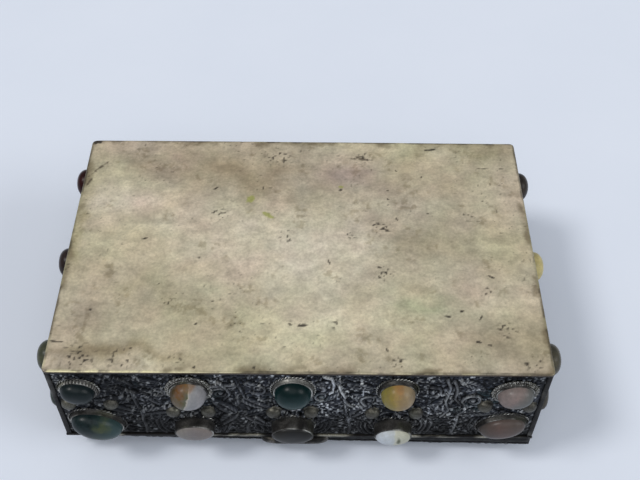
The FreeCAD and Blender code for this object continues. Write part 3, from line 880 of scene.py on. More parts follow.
# ---------------------------------------------------------------- materials
class Graph:
    """A material's or world's node tree, with short calls for the nodes it needs."""

    def __init__(self, name, kind="materials"):
        self.owner = getattr(bpy.data, kind).new(name)
        self.owner.use_nodes = True
        self.tree = self.owner.node_tree
        self.tree.nodes.clear()

    def put(self, made, key, value):
        """Sets an input of a node: links it to another node's output, or gives it a number or colour."""
        if isinstance(value, bpy.types.NodeSocket):
            self.tree.links.new(value, made.inputs[key])
        else:
            made.inputs[key].default_value = value

    def node(self, kind, settings=None, **inputs):
        """Adds a node. An input is given by its name, or by its number as n0, n1 and so on."""
        made = self.tree.nodes.new(kind)
        for key, value in (settings or {}).items():
            setattr(made, key, value)
        for key, value in inputs.items():
            self.put(made, int(key[1:]) if key[1:].isdigit() else key.replace("_", " "), value)
        return made

    def vector(self, operation, first, output=0, **inputs):
        """One step of arithmetic on places or colours."""
        return self.node("ShaderNodeVectorMath", {"operation": operation}, n0=first, **inputs).outputs[output]

    def places(self):
        """Where the point is on the piece, in millimetres."""
        return self.vector("SCALE", self.node("ShaderNodeTexCoord").outputs["Object"], Scale=1 / MM)

    def noise(self, where, size, detail=3.0, roughness=0.55, stretch=None):
        """Noise with features of a size in millimetres."""
        if stretch:
            where = self.vector("MULTIPLY", where, n1=stretch)
        return self.node("ShaderNodeTexNoise", Vector=where, Scale=1 / size, Detail=detail,
                         Roughness=roughness).outputs["Fac"]

    def kept(self):
        """The colour and the rubbed share kept on the mesh."""
        return self.node("ShaderNodeAttribute", {"attribute_name": "tone"}).outputs

    def maths(self, operation, first, second=0.0, clamp=False):
        settings = {"operation": operation, "use_clamp": clamp}
        return self.node("ShaderNodeMath", settings, n0=first, n1=second).outputs[0]

    def around(self, value, middle, reach):
        """A value's distance from its middle, times a reach."""
        return self.maths("MULTIPLY", self.maths("SUBTRACT", value, middle), reach)

    def between(self, value, low, high, to_low=0.0, to_high=1.0):
        """A value's place between low and high, as a number from to_low to to_high."""
        settings = {"interpolation_type": "SMOOTHSTEP"}
        return self.node("ShaderNodeMapRange", settings, Value=value, n1=low, n2=high, n3=to_low,
                         n4=to_high).outputs[0]

    def blend(self, share, first, second, mode="MIX"):
        """A colour between two, or one colour laid on another."""
        made = self.node("ShaderNodeMix", {"data_type": "RGBA", "blend_type": mode}, n0=share)
        for index, colour in ((6, first), (7, second)):
            is_link = isinstance(colour, bpy.types.NodeSocket)
            self.put(made, index, colour if is_link else (*colour, 1))
        return made.outputs[2]

    def ramp(self, value, stops):
        """Colours along a value from 0 to 1, each stop as (place, (red, green, blue))."""
        made = self.node("ShaderNodeValToRGB", Fac=value)
        band = made.color_ramp
        while len(band.elements) < len(stops):
            band.elements.new(1.0)
        for element, (place_on, colour) in zip(band.elements, stops):
            element.position = place_on
            element.color = (*linear(*colour), 1)
        return made.outputs["Color"]

    def bump(self, height, depth):
        """Fine relief, its depth in millimetres."""
        return self.node("ShaderNodeBump", Height=height, Distance=depth * MM, Strength=1.0).outputs[0]

    def surface(self, **inputs):
        shader = self.node("ShaderNodeBsdfPrincipled", **inputs)
        self.node("ShaderNodeOutputMaterial", Surface=shader.outputs[0])
        return self.owner


def metal(name, metallic, dull, bright, grain, depth, contrast=0.35):
    """Worn metal whose colour and rubbed places are kept on the mesh, with fine grain over both."""
    graph = Graph(name)
    where = graph.places()
    kept = graph.kept()
    fine = graph.noise(where, grain, 4.0, 0.6)
    soot = graph.between(fine, 0.3, 0.7, 1 - contrast, 1 + contrast * 0.5)
    tone = graph.vector("SCALE", kept["Color"], Scale=soot)
    rough = graph.between(kept["Alpha"], 0.0, 1.0, dull, bright)
    rough = graph.maths("ADD", rough, graph.between(graph.noise(where, grain * 5), 0.3, 0.7, -0.06, 0.08))
    return graph.surface(Base_Color=tone, Metallic=metallic, Roughness=rough, Normal=graph.bump(fine, depth))


def plain_metal(name, colour, worn, metallic, roughness, grain):
    """Metal for the small turned parts: fine scratches along the part and dark specks."""
    graph = Graph(name)
    where = graph.places()
    scratches = graph.noise(where, grain, 5.0, 0.7, (0.15, 1.0, 1.0))
    patches = graph.between(graph.noise(where, grain * 12, 4.0), 0.35, 0.65)
    tone = graph.blend(patches, linear(*colour), linear(*worn))
    tone = graph.blend(graph.between(scratches, 0.3, 0.62, 0.55, 0.0), tone, linear(24, 22, 20))
    rough = graph.between(scratches, 0.2, 0.8, roughness + 0.15, roughness - 0.1)
    normal = graph.bump(scratches, 0.03)
    return graph.surface(Base_Color=tone, Metallic=metallic, Roughness=rough, Normal=normal)


def velvet():
    """Wine-red cloth with a short pile that lies different ways."""
    graph = Graph("velvet")
    where = graph.places()
    lie = graph.noise(where, 9.0, 3.0, 0.6)
    pile = graph.noise(where, 0.35, 3.0, 0.7)
    tone = graph.blend(graph.between(lie, 0.35, 0.65), linear(84, 18, 30), linear(116, 30, 44))
    tone = graph.blend(graph.between(pile, 0.3, 0.7, 0.5, 0.0), tone, linear(44, 8, 16))
    tint = (0.9, 0.5, 0.55, 1)
    return graph.surface(Base_Color=tone, Roughness=0.9, Sheen_Weight=0.8, Sheen_Roughness=0.4,
                         Sheen_Tint=tint, Specular_IOR_Level=0.2, Normal=graph.bump(pile, 0.25))


def polished(graph, tone, where, roughness=0.28):
    """A stone's surface: polished, with a few fine scratches."""
    scratches = graph.noise(where, 0.5, 2.0, 0.5, (0.3, 1.0, 1.0))
    rough = graph.between(scratches, 0.3, 0.8, roughness, roughness + 0.08)
    return graph.surface(Base_Color=tone, Roughness=rough, IOR=1.45, Specular_IOR_Level=0.2,
                         Normal=graph.bump(scratches, 0.004))


Agate = namedtuple("Agate", "slot size direction warp stops blotches banding", defaults=((), 0.0))


def agate(look):
    """A stone whose colour runs across it from one side to the other, broken up by clouds and bands."""
    graph = Graph(look.slot)
    where = graph.places()
    along = graph.vector("DOT_PRODUCT", where, "Value", n1=look.direction)
    field = graph.between(along, -look.size, look.size)
    swirl = graph.noise(where, 3.2, 4.0, 0.55)
    field = graph.maths("ADD", field, graph.around(swirl, 0.5, look.warp), clamp=True)
    tone = graph.ramp(field, look.stops)
    if look.banding:
        stripes = graph.maths("SINE", graph.maths("MULTIPLY", field, look.banding))
        tone = graph.blend(graph.between(stripes, -0.2, 1.0, 0.0, 0.22), tone, (1, 0.95, 0.88), "SOFT_LIGHT")
    for (across, up), (wide, tall), colour, strength in look.blotches:
        # The dome lifts its middle off the plane of the blotch, so the reach is measured in the flat.
        flat = graph.vector("MULTIPLY", where, n1=(1 / wide, 1 / tall, 0))
        away = graph.vector("DISTANCE", flat, "Value", n1=(across / wide, up / tall, 0))
        away = graph.maths("ADD", away, graph.around(swirl, 0.5, 2.4))
        tone = graph.blend(graph.between(away, 0.3, 1.4, strength, 0.0), tone, linear(*colour))
    veins = graph.noise(where, 1.1, 5.0, 0.65)
    vein_colour = linear(*look.stops[0][1]) * 0.6
    return polished(graph, graph.blend(graph.between(veins, 0.35, 0.7, 0.3, 0.0), tone, vein_colour), where)


def mixed_agate(name):
    """Stones of the plain walls: each has its own colour kept on the mesh, with clouds and bands over it."""
    graph = Graph(name)
    where = graph.places()
    kept = graph.kept()
    swirl = graph.noise(where, 3.0, 4.0, 0.6)
    stripes = graph.maths("SINE", graph.maths("MULTIPLY", swirl, 40.0))
    clouds = graph.between(swirl, 0.35, 0.65, 0.0, 0.8)
    tone = graph.blend(clouds, kept["Color"], (0.85, 0.8, 0.7), "SOFT_LIGHT")
    tone = graph.blend(graph.between(stripes, 0.0, 1.0, 0.0, 0.3), tone, (0.3, 0.26, 0.24), "SOFT_LIGHT")
    return polished(graph, tone, where)


# ---------------------------------------------------------------- frames, straps and tab
def rounded_section(inner, outer, low, high, radius):
    """A rectangle's outline with eased corners, as (outward, height) pairs."""
    ease = [(0.0, 1.0), (0.29, 0.29), (1.0, 0.0)]
    corners = [(outer, low, -1, 1), (outer, high, -1, -1), (inner, high, 1, -1), (inner, low, 1, 1)]
    section = []
    for number, (side, level, inward, upward) in enumerate(corners):
        steps = [(side + inward * radius * a, level + upward * radius * b) for a, b in ease]
        section += steps[::-1] if number % 2 == 0 else steps
    return section


def frame_ring(corners, section, steps):
    """A closed mitred frame: its section carried round the four corners of an outline."""
    outline = []
    for outward, level in section:
        spread = corners + outward * np.array(CORNER_SIGNS)
        loop = []
        for corner in range(4):
            start, end = spread[corner], spread[(corner + 1) % 4]
            shares = np.arange(steps[corner % 2]) / steps[corner % 2]
            loop.append(start + (end - start) * shares[:, None])
        flat = np.concatenate(loop)
        outline.append(np.column_stack([flat, np.full(len(flat), level)]))
    return np.stack(outline, 1)


def rim_piece(name, corners, section, seed, tones, shine_at):
    """A swept frame with small dents, dark and bright in turn along its length."""
    points = frame_ring(corners, section, (110, 72))
    loops, size = points.shape[:2]
    flat = points.reshape(-1, 3)
    dents = np.stack([cloud(flat, 6, seed + axis, 3) for axis in range(3)], -1) - 0.5
    flat = flat + 0.05 * dents
    shine = smooth(*shine_at, cloud(flat, 4.5, seed + 9))
    piece = new_object(name, flat, tube_faces(loops, size, True))
    paint(piece, mix(linear(*tones[0]), linear(*tones[1]), shine), shine)
    return piece


def lid_outline():
    """The lid's own four corners. Its front edge runs out of square, and the frame holds how far."""
    low, high = node_box("lid_panel")
    points = np.array([vertex.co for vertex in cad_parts["lid_panel"].data.vertices]) / MM
    right_front = points[points[:, 0] > high.x - 0.01][:, 1].min()
    return np.array([(low.x, low.y), (high.x, right_front), (high.x, high.y), (low.x, high.y)])


def corner_strap(batch, side_x, side_y, low, high):
    """One angle strip over an upright corner, slightly dented."""
    leg, sheet = STRAP_LEG, STRAP_THICK
    outline = [(-leg, 0), (-0.25, 0), (-0.07, -0.07), (0, -0.25), (0, -leg), (-sheet, -leg), (-sheet, -sheet),
               (-leg, -sheet)]
    levels = np.linspace(low.z, high.z, 37)
    loops = [[(side_x * (high.x + a), side_y * (high.y + b), level) for a, b in outline] for level in levels]
    points = np.array(loops).reshape(-1, 3)
    dents = cloud(points, 5, 83) - 0.5
    points[:, 0] += side_x * 0.1 * np.minimum(dents, 0)
    points[:, 1] += side_y * 0.1 * np.minimum(dents, 0)
    size = len(outline)
    faces = tube_faces(len(levels), size, False)
    faces += [list(range(size)), list(range(len(points) - size, len(points)))[::-1]]
    if side_x * side_y < 0:
        faces = [face[::-1] for face in faces]
    shine = 0.5 * smooth(0.6, 0.9, cloud(points, 6, 87))
    batch.add(points, faces, mix(linear(38, 37, 37), linear(104, 102, 96), shine), shine)


def thumb_tab():
    """The lid's front tongue, thinner at its tip, with a rubbed edge."""
    low, high = node_box("thumb_tab")
    middle, half = (high + low) / 2, (high - low) / 2
    columns, rings = 45, 12
    across = np.linspace(-1, 1, columns)
    tip = low.y + (2 * half.y - 0.3) * (1 - np.sqrt(np.clip(1 - abs(across) ** 5, 0, 1)))
    points = []
    for share, edge in zip(across, tip):
        root = high.y - (1 - share) * 0.16
        for number in range(rings):
            cos, sin = math.cos(2 * math.pi * number / rings), math.sin(2 * math.pi * number / rings)
            bulge = math.copysign(abs(cos) ** 0.5, cos)
            rise = math.copysign(abs(sin) ** 0.6, sin)
            points.append((middle.x + share * half.x, (edge + root) / 2 + (root - edge) / 2 * bulge,
                           middle.z + half.z * rise * (1 - 0.12 * (bulge < 0))))
    points = np.array(points)
    faces = [face[::-1] for face in tube_faces(columns, rings, False)]
    faces += [list(range(rings)), list(range((columns - 1) * rings, columns * rings))[::-1]]
    piece = new_object("thumb_tab_piece", points, faces)
    shine = smooth(0.5, 0.9, cloud(points, 3, 91))
    paint(piece, mix(linear(34, 33, 32), linear(92, 88, 82), shine), shine)
    return piece


# ---------------------------------------------------------------- padded linings
def pillow(name, node, across_axis, up_axis, outward):
    """A thin pad that fills a lining's place: two sheets joined along a seam, crowned in the middle."""
    low, high = node_box(node)
    middle, half = (low + high) / 2, (high - low) / 2
    half_u, half_v, half_n = (abs(half.dot(axis)) for axis in (across_axis, up_axis, outward))
    columns, rows = round(2 * half_u / PAD_STEP) + 1, round(2 * half_v / PAD_STEP) + 1
    grid_u, grid_v = np.meshgrid(np.linspace(-1, 1, columns), np.linspace(-1, 1, rows))
    crown = half_n * ((1 - grid_u**6) * (1 - grid_v**6)) ** 0.5
    pull_u = (1 - grid_v**2) * (abs(grid_u) == 1)
    pull_v = (1 - grid_u**2) * (abs(grid_v) == 1)
    pull = 1 - 0.006 * (pull_u + pull_v)
    places = np.stack([grid_u * half_u, grid_v * half_v, np.zeros_like(grid_u)], -1)
    soft = 0.88 + 0.12 * cloud(places, 16, 93, 2)
    flat = places * pull[..., None]
    upper, under = flat + (crown * soft)[..., None] * (0, 0, 1), flat - crown[..., None] * (0, 0, 1)
    index = np.arange(rows * columns).reshape(rows, columns)
    under_index = index.copy()
    under_index[1:-1, 1:-1] = rows * columns + np.arange((rows - 2) * (columns - 2)).reshape(rows - 2, -1)
    points = np.concatenate([upper.reshape(-1, 3), under[1:-1, 1:-1].reshape(-1, 3)])
    faces = grid_faces(index) + [face[::-1] for face in grid_faces(under_index)]
    return new_object(name, moved(points, wall_frame(across_axis, up_axis, outward, middle)), faces)


def puff(piece, pressure, cap):
    """Blows a pad up as cloth held along its seam, and lets no point move further than cap millimetres."""
    rest = np.array([vertex.co for vertex in piece.data.vertices])
    shape = bmesh.new()
    shape.from_mesh(piece.data)
    shape.normal_update()
    held = [vertex.index for vertex in shape.verts
            if min(vertex.link_faces[0].normal.dot(face.normal) for face in vertex.link_faces) < 0]
    shape.free()
    piece.vertex_groups.new(name="seam").add(held, 1.0, "REPLACE")
    cloth = piece.modifiers.new("cloth", "CLOTH").settings
    cloth.use_pressure = True
    cloth.uniform_pressure_force = pressure
    cloth.vertex_group_mass = "seam"
    cloth.effector_weights.gravity = 0
    cloth.quality = 5
    for step in range(1, CLOTH_STEPS + 1):
        bpy.context.scene.frame_set(step)
    shaped = piece.evaluated_get(bpy.context.evaluated_depsgraph_get()).to_mesh()
    move = np.array([vertex.co for vertex in shaped.vertices]) - rest
    piece.modifiers.clear()
    size = np.linalg.norm(move, axis=1, keepdims=True)
    move *= np.minimum(1, cap * MM / np.maximum(size, TINY))
    piece.data.vertices.foreach_set("co", (rest + move).astype(np.float32).ravel())
    piece.data.update()
    bpy.context.scene.frame_set(1)


# ---------------------------------------------------------------- the box
WALLS = find_walls()
SHEET_METAL = metal("blackened_sheet", 0.85, 0.48, 0.28, 0.45, 0.05)
SETTING_METAL = metal("setting_metal", 0.8, 0.45, 0.25, 0.5, 0.03)
BASE_METAL = metal("worn_base_metal", 0.35, 0.55, 0.36, 0.9, 0.02, 0.14)
RIM_METAL = metal("bright_rim", 0.85, 0.5, 0.28, 0.4, 0.03)
DARK_METAL = metal("dark_metal", 0.8, 0.5, 0.3, 0.5, 0.04)
VELVET = velvet()

FRONT_STONES = {
    "front_lower_stone_1": Agate(
        "agate_pink", 5.5, (0.7, -0.75, 0), 0.3,
        [(0.0, (88, 92, 90)), (0.4, (104, 102, 99)), (0.75, (130, 115, 111)), (1.0, (130, 118, 115))]),
    "front_lower_stone_2": Agate(
        "agate_amber", 5.0, (0.95, 0.15, 0), 0.4,
        [(0.0, (138, 123, 100)), (0.4, (144, 121, 82)), (0.7, (138, 121, 62)), (1.0, (127, 120, 60))],
        [((0.4, -5.0), (1.8, 1.4), (158, 104, 48), 0.45)], 14.0),
    # Darker towards the base and lighter towards the rim: partly the stone's own teal, partly a painted
    # reflection of the pale table beyond the rim.
    "front_lower_stone_3": Agate(
        "agate_teal", 5.5, (0, 1, 0), 0.25, [(0.0, (6, 26, 27)), (0.5, (16, 48, 48)), (1.0, (27, 62, 59))]),
    "front_lower_stone_4": Agate(
        "agate_banded", 5.2, (0.97, -0.24, 0), 0.45,
        [(0.0, (134, 133, 136)), (0.5, (140, 140, 140)), (0.55, (170, 163, 150)), (0.6, (82, 85, 60)),
         (0.74, (90, 76, 44)), (1.0, (73, 59, 34))],
        [((2.2, -4.8), (2.0, 1.8), (112, 72, 34), 0.75), ((-1.4, -5.4), (3.0, 0.9), (128, 94, 56), 0.7)],
        16.0),
    "front_lower_stone_5": Agate(
        "agate_dark_green", 5.0, (0.0, 0.95, 0), 0.4,
        [(0.0, (20, 29, 31)), (0.5, (28, 37, 39)), (1.0, (38, 46, 48))]),
    "front_upper_stone_1": Agate(
        "agate_mauve", 7.0, (1, 0.2, 0), 0.4,
        [(0.0, (84, 76, 72)), (0.5, (92, 76, 71)), (1.0, (77, 71, 68))]),
    "front_upper_stone_2": Agate(
        "agate_white", 5.4, (1, 0, 0), 0.2,
        [(0.0, (180, 180, 163)), (0.42, (194, 194, 179)), (0.5, (188, 194, 198)), (1.0, (196, 203, 212))],
        [((-1.7, -0.4), (0.75, 2.0), (62, 68, 42), 0.95)]),
    "front_upper_stone_3": Agate(
        "agate_smoke", 6.0, (1, 0, 0), 0.5, [(0.0, (32, 32, 31)), (0.5, (34, 34, 35)), (1.0, (40, 39, 36))]),
    "front_upper_stone_4": Agate(
        "agate_taupe", 5.6, (1, 0, 0), 0.4,
        [(0.0, (122, 114, 110)), (0.5, (117, 111, 110)), (1.0, (130, 126, 121))]),
    "front_upper_stone_5": Agate(
        "agate_moss", 8.0, (1, 0.1, 0), 0.35,
        [(0.0, (56, 75, 76)), (0.4, (38, 54, 52)), (0.7, (12, 23, 25)), (1.0, (15, 27, 29))],
        [((-1.0, -3.4), (2.6, 1.8), (80, 84, 50), 0.6)]),
}
MIXED_STONES = [(78, 36, 30), (126, 88, 52), (28, 52, 50), (122, 110, 102), (66, 48, 41), (168, 165, 156),
                (48, 60, 47), (90, 83, 89), (120, 102, 66), (39, 36, 37)]
# The end walls' stones, in the order they stand across the wall.
END_STONES = {
    "left_lower_cabochons": [(50, 45, 42), (180, 168, 118), (72, 70, 60)],
    "left_upper_cabochons": [(80, 76, 70), (190, 184, 160), (60, 58, 54)],
    "right_lower_cabochons": [(62, 66, 54), (38, 30, 30), (40, 13, 13)],
    "right_upper_cabochons": [(34, 44, 38), (88, 62, 44), (104, 96, 86)],
}
# Extra strands on the front, as (points, radius, how bright they are rubbed).
FRONT_STROKES = [
    ([(-7.7, 2.2), (-9.4, 3.3), (-10.4, 6.6), (-9.9, 10.6), (-9.0, 12.3)], 0.6, 1.0),
    ([(-11.9, 7.2), (-12.9, 11.1), (-14.5, 16.9)], 0.5, 0.8),
    ([(-13.4, 14.5), (-14.4, 17.4), (-16.4, 19.8)], 0.4, 0.6),
    ([(-6.2, 7.6), (-7.3, 8.4), (-7.5, 9.9), (-6.4, 10.6)], 0.4, 0.7),
    ([(-43.7, 3.4), (-45.1, 8.4), (-44.2, 15.0), (-45.6, 21.0), (-43.8, 25.0)], 0.5, 0.3),
    ([(-45.8, 4.2), (-47.6, 9.0), (-46.8, 14.0), (-49.6, 18.4)], 0.45, 0.2),
    ([(54.5, 3.5), (51.6, 5.4), (49.8, 8.8)], 0.45, 0.2),
    ([(52.6, 9.4), (49.6, 11.8), (45.6, 12.6)], 0.42, 0.12),
    ([(24, 6), (21.6, 9.4), (21.0, 13), (23, 16)], 0.45, 0.15),
]
# How bright crests and specks are rubbed, the shares of the wall's height between which the wear fades out,
# and the blackest places along the wall, as (across, reach, strength).
Wear = namedtuple("Wear", "crests specks fade soot")
FRONT_WEAR = Wear(0.5, 1.15, (1.02, 0.4), [(56, 18, 0.9), (20, 7, 0.3), (-62, 5, 0.4)])
PLAIN_WEAR = Wear(0.8, 0.4, (1.3, 0.5), [])
FRONT_STYLES = {
    "front_lower_stone_1": "granulated", "front_lower_stone_2": "smooth", "front_lower_stone_3": "rope",
    "front_lower_stone_4": "granulated", "front_lower_stone_5": "fluted",
}
WALL_STYLES = ("fluted", "rope", "smooth", "granulated")
LID_STYLES = ("fluted", "rope", "granulated", "smooth")


def build_stone(name, setting, wall, look, body, node):
    """A stone as its own object, with its middle at the object's origin and its long side along its X."""
    points, faces = stone_points(setting, len(name))
    piece = new_object(name, points, faces)
    shift = Matrix.Translation((setting.across, setting.up, 0))
    matrix = wall.matrix @ shift @ Matrix.Rotation(setting.turn, 4, "Z")
    matrix.translation = matrix.translation * MM
    piece.matrix_world = matrix
    settle(piece, agate(look), body, look.slot, node)


def build_setting_metal(wall, settings, styles, body, seed):
    """Every collar, twisted wire and ball boss of one wall, three pieces."""
    rng = np.random.default_rng(seed)
    collars, wires, balls = Batch(), Batch(), Batch()
    for number, (setting, style) in enumerate(zip(settings, styles)):
        add_bezel(collars, setting, wall, style, seed + number)
        if style == "granulated":
            add_grains(collars, setting, wall, rng)
        bright = 1.3 if style == "rope" else 0.4
        add_rope(wires, setting, wall, foot_of(setting) + ROPE_GAP, ROPE_RADIUS, seed + number, bright)
    for number, points in enumerate(solids_of(wall.name + "_ball_bosses", wall.matrix)):
        add_ball(balls, points, wall, seed + number)
    names = (("_collars", "_bezels"), ("_twisted_wires", "_wire_rings"), ("_bosses", "_ball_bosses"))
    for batch, (piece, node) in zip((collars, wires, balls), names):
        settle(batch.build(wall.name + piece), SETTING_METAL, body, "setting_metal", wall.name + node)


def panels_between(settings, edges):
    """Panels between neighbouring columns of stones, in each band between two edges."""
    columns = sorted(settings)
    return [((a + b) / 2, low, high, (b - a) / 2) for a, b in zip(columns, columns[1:])
            for low, high in zip(edges, edges[1:])]


def build_front():
    """The front, whose ten stones are each a piece of their own."""
    wall = WALLS["front"]
    names = sorted(FRONT_STONES)
    settings = find_settings(names, "front_bezels", wall)
    for name, setting in zip(names, settings):
        build_stone(name.replace("stone", "cabochon"), setting, wall, FRONT_STONES[name], SIDE_BODY, name)
    styles = [FRONT_STYLES.get(name, "smooth") for name in names]
    build_setting_metal(wall, settings, styles, SIDE_BODY, 11)
    panels = panels_between([setting.across for setting in settings[:5]], (wall.low[1], wall.high[1]))
    piece = embossed(wall, settings, 3, panels, FRONT_WEAR, FRONT_STROKES)
    settle(piece, SHEET_METAL, SIDE_BODY, "blackened_sheet", "front_wall")


def build_stone_group(name, settings, wall, body, material, node, seed):
    """Stones of a plain wall in one mesh, each with its own colour."""
    batch = Batch()
    for number, setting in enumerate(sorted(settings)):
        points, faces = stone_points(setting, seed + number)
        mixed = MIXED_STONES[(seed + number * 3) % len(MIXED_STONES)]
        colour = END_STONES[name][number] if name in END_STONES else mixed
        batch.add(place(points, setting, wall), faces, linear(*colour), 0.0)
    settle(batch.build(name), material, body, "agate_mixed", node)


def build_plain_wall(name, seed, material):
    """The back or an end wall, with a lower and an upper row of stones."""
    wall = WALLS[name]
    rows = []
    for row, row_seed in ((name + "_lower_", seed), (name + "_upper_", seed + 4)):
        node = row + "stones"
        rows.append(find_settings([node], name + "_bezels", wall))
        build_stone_group(row + "cabochons", rows[-1], wall, SIDE_BODY, material, node, row_seed)
    settings = rows[0] + rows[1]
    styles = [WALL_STYLES[(number + seed) % 4] for number in range(len(settings))]
    build_setting_metal(wall, settings, styles, SIDE_BODY, seed * 13)
    panels = panels_between([setting.across for setting in rows[0]], (wall.low[1], wall.high[1]))
    piece = embossed(wall, settings, seed, panels, PLAIN_WEAR)
    settle(piece, SHEET_METAL, SIDE_BODY, "blackened_sheet", name + "_wall")


def build_lid_panel(material):
    """The lid's sheet with fourteen small stones round a large one."""
    wall = WALLS["lid"]
    small = find_settings(["lid_stones"], "lid_bezels", wall)
    centre = find_settings(["lid_centre_stone"], "lid_bezels", wall)
    build_stone_group("lid_cabochons", small, wall, LID_BODY, material, "lid_stones", 2)
    build_stone_group("lid_centre_cabochon", centre, wall, LID_BODY, material, "lid_centre_stone", 7)
    settings = small + centre
    styles = [LID_STYLES[number % 4] for number in range(len(settings))]
    build_setting_metal(wall, settings, styles, LID_BODY, 57)
    columns = {round(setting.across) for setting in small}
    panels = panels_between(columns, (wall.low[1] + 1, 0.0, wall.high[1] - 1))
    settle(embossed_lid(wall, settings, panels), SHEET_METAL, LID_BODY, "blackened_sheet", "lid_panel")


def embossed_lid(wall, settings, panels):
    """The lid's sheet: the same relief, with its front edge cut to the lid's own outline."""
    seed = 41
    relief = Relief(wall.low, wall.high, LID_RELIEF_STEP)
    places, _ = emboss(relief, panels, settings, np.random.default_rng(seed), seed)
    corners = lid_outline()
    grid_u, grid_v = places[..., 0], places[..., 1]
    front = np.interp(grid_u, corners[:2, 0], corners[:2, 1])
    share = (grid_v - wall.low[1]) / (wall.high[1] - wall.low[1])
    grid_v = front + (wall.high[1] - front) * share
    even = np.full_like(share, 0.3)
    return relief_piece("lid_embossed_sheet", relief, places, even, wall, grid_u, grid_v, seed, PLAIN_WEAR)


def build_frames():
    """The frame round the mouth, the lid's skirt, the corner straps and the thumb tab."""
    low, high = node_box("body_rim")
    lining, _ = node_box("right_lining")
    section = rounded_section(lining.x - high.x, 0, low.z, high.z, 0.18)
    corners = np.array(CORNER_SIGNS) * (high.x, high.y)
    rim = rim_piece("rim_frame", corners, section, 101, ((26, 24, 23), (148, 144, 130)), (0.45, 0.72))
    settle(rim, RIM_METAL, SIDE_BODY, "bright_rim", "body_rim")
    low, high = node_box("lid_frame")
    section = rounded_section(-SKIRT_THICK, 0, low.z, high.z, 0.22)
    skirt = rim_piece("lid_skirt", lid_outline(), section, 111, ((8, 8, 8), (44, 42, 40)), (0.7, 1.0))
    settle(skirt, DARK_METAL, LID_BODY, "dark_metal", "lid_frame")
    low, high = node_box("corner_straps")
    straps = Batch()
    for side_x, side_y in itertools.product((-1, 1), repeat=2):
        corner_strap(straps, side_x, side_y, low, high)
    settle(straps.build("corner_angles"), DARK_METAL, SIDE_BODY, "dark_metal", "corner_straps")
    settle(thumb_tab(), DARK_METAL, LID_BODY, "dark_metal", "thumb_tab")


def build_hinge():
    """The knuckles and pin keep their CAD shape, with eased edges and a worn finish."""
    finish = {
        "hinge_body_knuckles": ("dark_metal_tube", (92, 88, 82), (140, 134, 122), 0.85, 0.42, 0.35),
        "hinge_lid_knuckles": ("dark_metal_tube_lid", (84, 80, 76), (134, 128, 118), 0.85, 0.42, 0.35),
        "hinge_pin": ("pin_steel", (150, 150, 152), (190, 190, 188), 0.95, 0.3, 0.25),
    }
    for node, look in finish.items():
        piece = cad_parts[node]
        piece.data.materials.clear()
        piece.data.materials.append(plain_metal(*look))
        bevel = piece.modifiers.new("eased", "BEVEL")
        bevel.width = 0.12 * MM
        bevel.segments = 2
        bevel.limit_method = "ANGLE"


def build_linings():
    """The padded cloth: floor, four walls and the inside of the lid."""
    x, y, z = Vector((1, 0, 0)), Vector((0, 1, 0)), Vector((0, 0, 1))
    pads = {"floor": (x, y, z), "front": (-x, z, y), "back": (x, z, -y), "left": (y, z, x),
            "right": (-y, z, -x), "lid": (-x, y, -z)}
    for name, axes in pads.items():
        node = name + "_lining"
        piece = pillow(name + "_pad", node, *axes)
        if name in ("floor", "lid"):
            puff(piece, PAD_PRESSURE, PAD_RISE)
        smoothing = piece.modifiers.new("smooth", "SUBSURF")
        smoothing.levels = 1
        smoothing.render_levels = 1
        settle(piece, VELVET, LID_BODY if name == "lid" else SIDE_BODY, "velvet", node)


# ---------------------------------------------------------------- table, light and camera
def make_camera():
    """The camera, below the box and looking up at the base."""
    data = bpy.data.cameras.new("camera")
    data.lens = CAMERA_LENS
    data.sensor_width = SENSOR_WIDTH
    data.clip_start = 0.01
    camera = bpy.data.objects.new("camera", data)
    bpy.context.scene.collection.objects.link(camera)
    back = CAMERA_RIGHT.cross(CAMERA_UP)
    camera.matrix_world = wall_frame(CAMERA_RIGHT, CAMERA_UP, back, CAMERA_PLACE)
    bpy.context.scene.camera = camera
    bpy.context.view_layer.update()
    return camera


def add_sun(name, camera, toward, strength, spread, colour):
    """A soft light from far off that keeps its place beside the camera, so every view is lit alike."""
    data = bpy.data.lights.new(name, "SUN")
    data.energy = strength
    data.angle = math.radians(spread)
    data.color = colour
    sun = bpy.data.objects.new(name, data)
    bpy.context.scene.collection.objects.link(sun)
    sun.rotation_mode = "QUATERNION"
    sun.rotation_quaternion = Vector(toward).to_track_quat("Z", "Y")
    bpy.context.view_layer.update()
    world = sun.matrix_world.copy()
    sun.parent = camera
    sun.matrix_parent_inverse = camera.matrix_world.inverted()
    sun.matrix_world = world


def from_side(side, height, forward):
    """The way to a light on the picture's left (1) or right (-1), at a height and turned to the front."""
    angle, turn = math.radians(height), math.radians(forward)
    return (side * math.cos(angle) * math.cos(turn), -math.cos(angle) * math.sin(turn), -math.sin(angle))


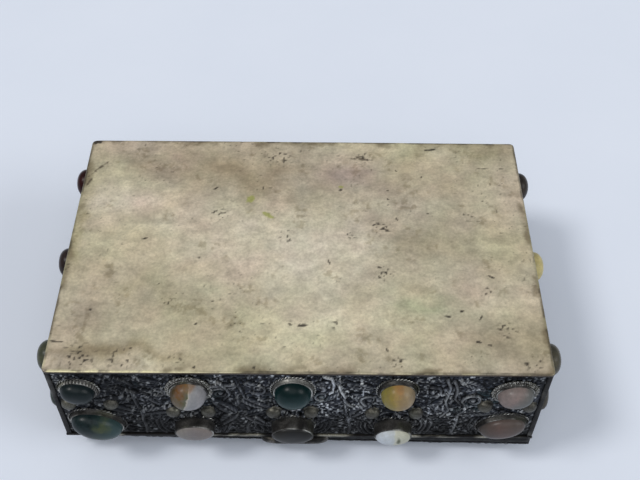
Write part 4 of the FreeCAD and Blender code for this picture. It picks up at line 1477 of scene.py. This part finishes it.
def make_world():
    """Pale light from all round, and a plain colour where the camera sees past the table."""
    graph = Graph("studio", "worlds")
    light = graph.node("ShaderNodeBackground", Color=(0.93, 0.96, 1.0, 1), Strength=ROOM_LIGHT)
    seen = graph.node("ShaderNodeBackground", Color=(*linear(214, 220, 230), 1))
    path = graph.node("ShaderNodeLightPath").outputs["Is Camera Ray"]
    both = graph.node("ShaderNodeMixShader", n0=path, n1=light.outputs[0], n2=seen.outputs[0])
    graph.node("ShaderNodeOutputWorld", n0=both.outputs[0])
    bpy.context.scene.world = graph.owner


def make_floor(camera):
    """A pale table. The box lies on its lid when seen from below, and stands on its base otherwise."""
    graph = Graph("pale_table")
    mottle = graph.noise(graph.places(), 60, 3.0)
    tone = graph.blend(mottle, linear(228, 235, 248), linear(234, 240, 252))
    mesh = bpy.data.meshes.new("table_top")
    corners = [(x * TABLE_REACH, y * TABLE_REACH, 0) for x, y in CORNER_SIGNS]
    mesh.from_pydata(corners, [], [[0, 1, 2, 3]])
    mesh.materials.append(graph.surface(Base_Color=tone, Roughness=0.7, Specular_IOR_Level=0.2))
    table_top = bpy.data.objects.new("table_top", mesh)
    bpy.context.scene.collection.objects.link(table_top)
    lid_stones_top = max(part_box("lid_centre_stone")[1].z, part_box("lid_stones")[1].z)
    driver = table_top.driver_add("location", 2).driver
    height = driver.variables.new()
    height.name = "height"
    height.type = "TRANSFORMS"
    height.targets[0].id = camera
    height.targets[0].transform_type = "LOC_Z"
    height.targets[0].transform_space = "WORLD_SPACE"
    driver.expression = "%.5f if height < 0 else 0" % (lid_stones_top + 0.0002)


build_front()
MIXED = mixed_agate("agate_mixed")
for wall_name, wall_seed in (("back", 5), ("left", 6), ("right", 7)):
    build_plain_wall(wall_name, wall_seed, MIXED)
build_lid_panel(MIXED)
settle(base_sheet(), BASE_METAL, SIDE_BODY, "worn_base_metal", "base_plate")
build_frames()
build_hinge()
build_linings()

scene_camera = make_camera()
add_sun("key_light", scene_camera, from_side(1, 55, 13), 1.05, 15, (1.0, 0.985, 0.96))
add_sun("fill_light", scene_camera, from_side(-1, 32, 22), 0.8, 30, (0.96, 0.98, 1.0))
add_sun("front_light", scene_camera, (0, -0.5, -0.87), 0.65, 50, (0.96, 0.98, 1.0))
make_world()
make_floor(scene_camera)
bpy.context.scene.view_settings.view_transform = "Standard"

bpy.context.view_layer.update()
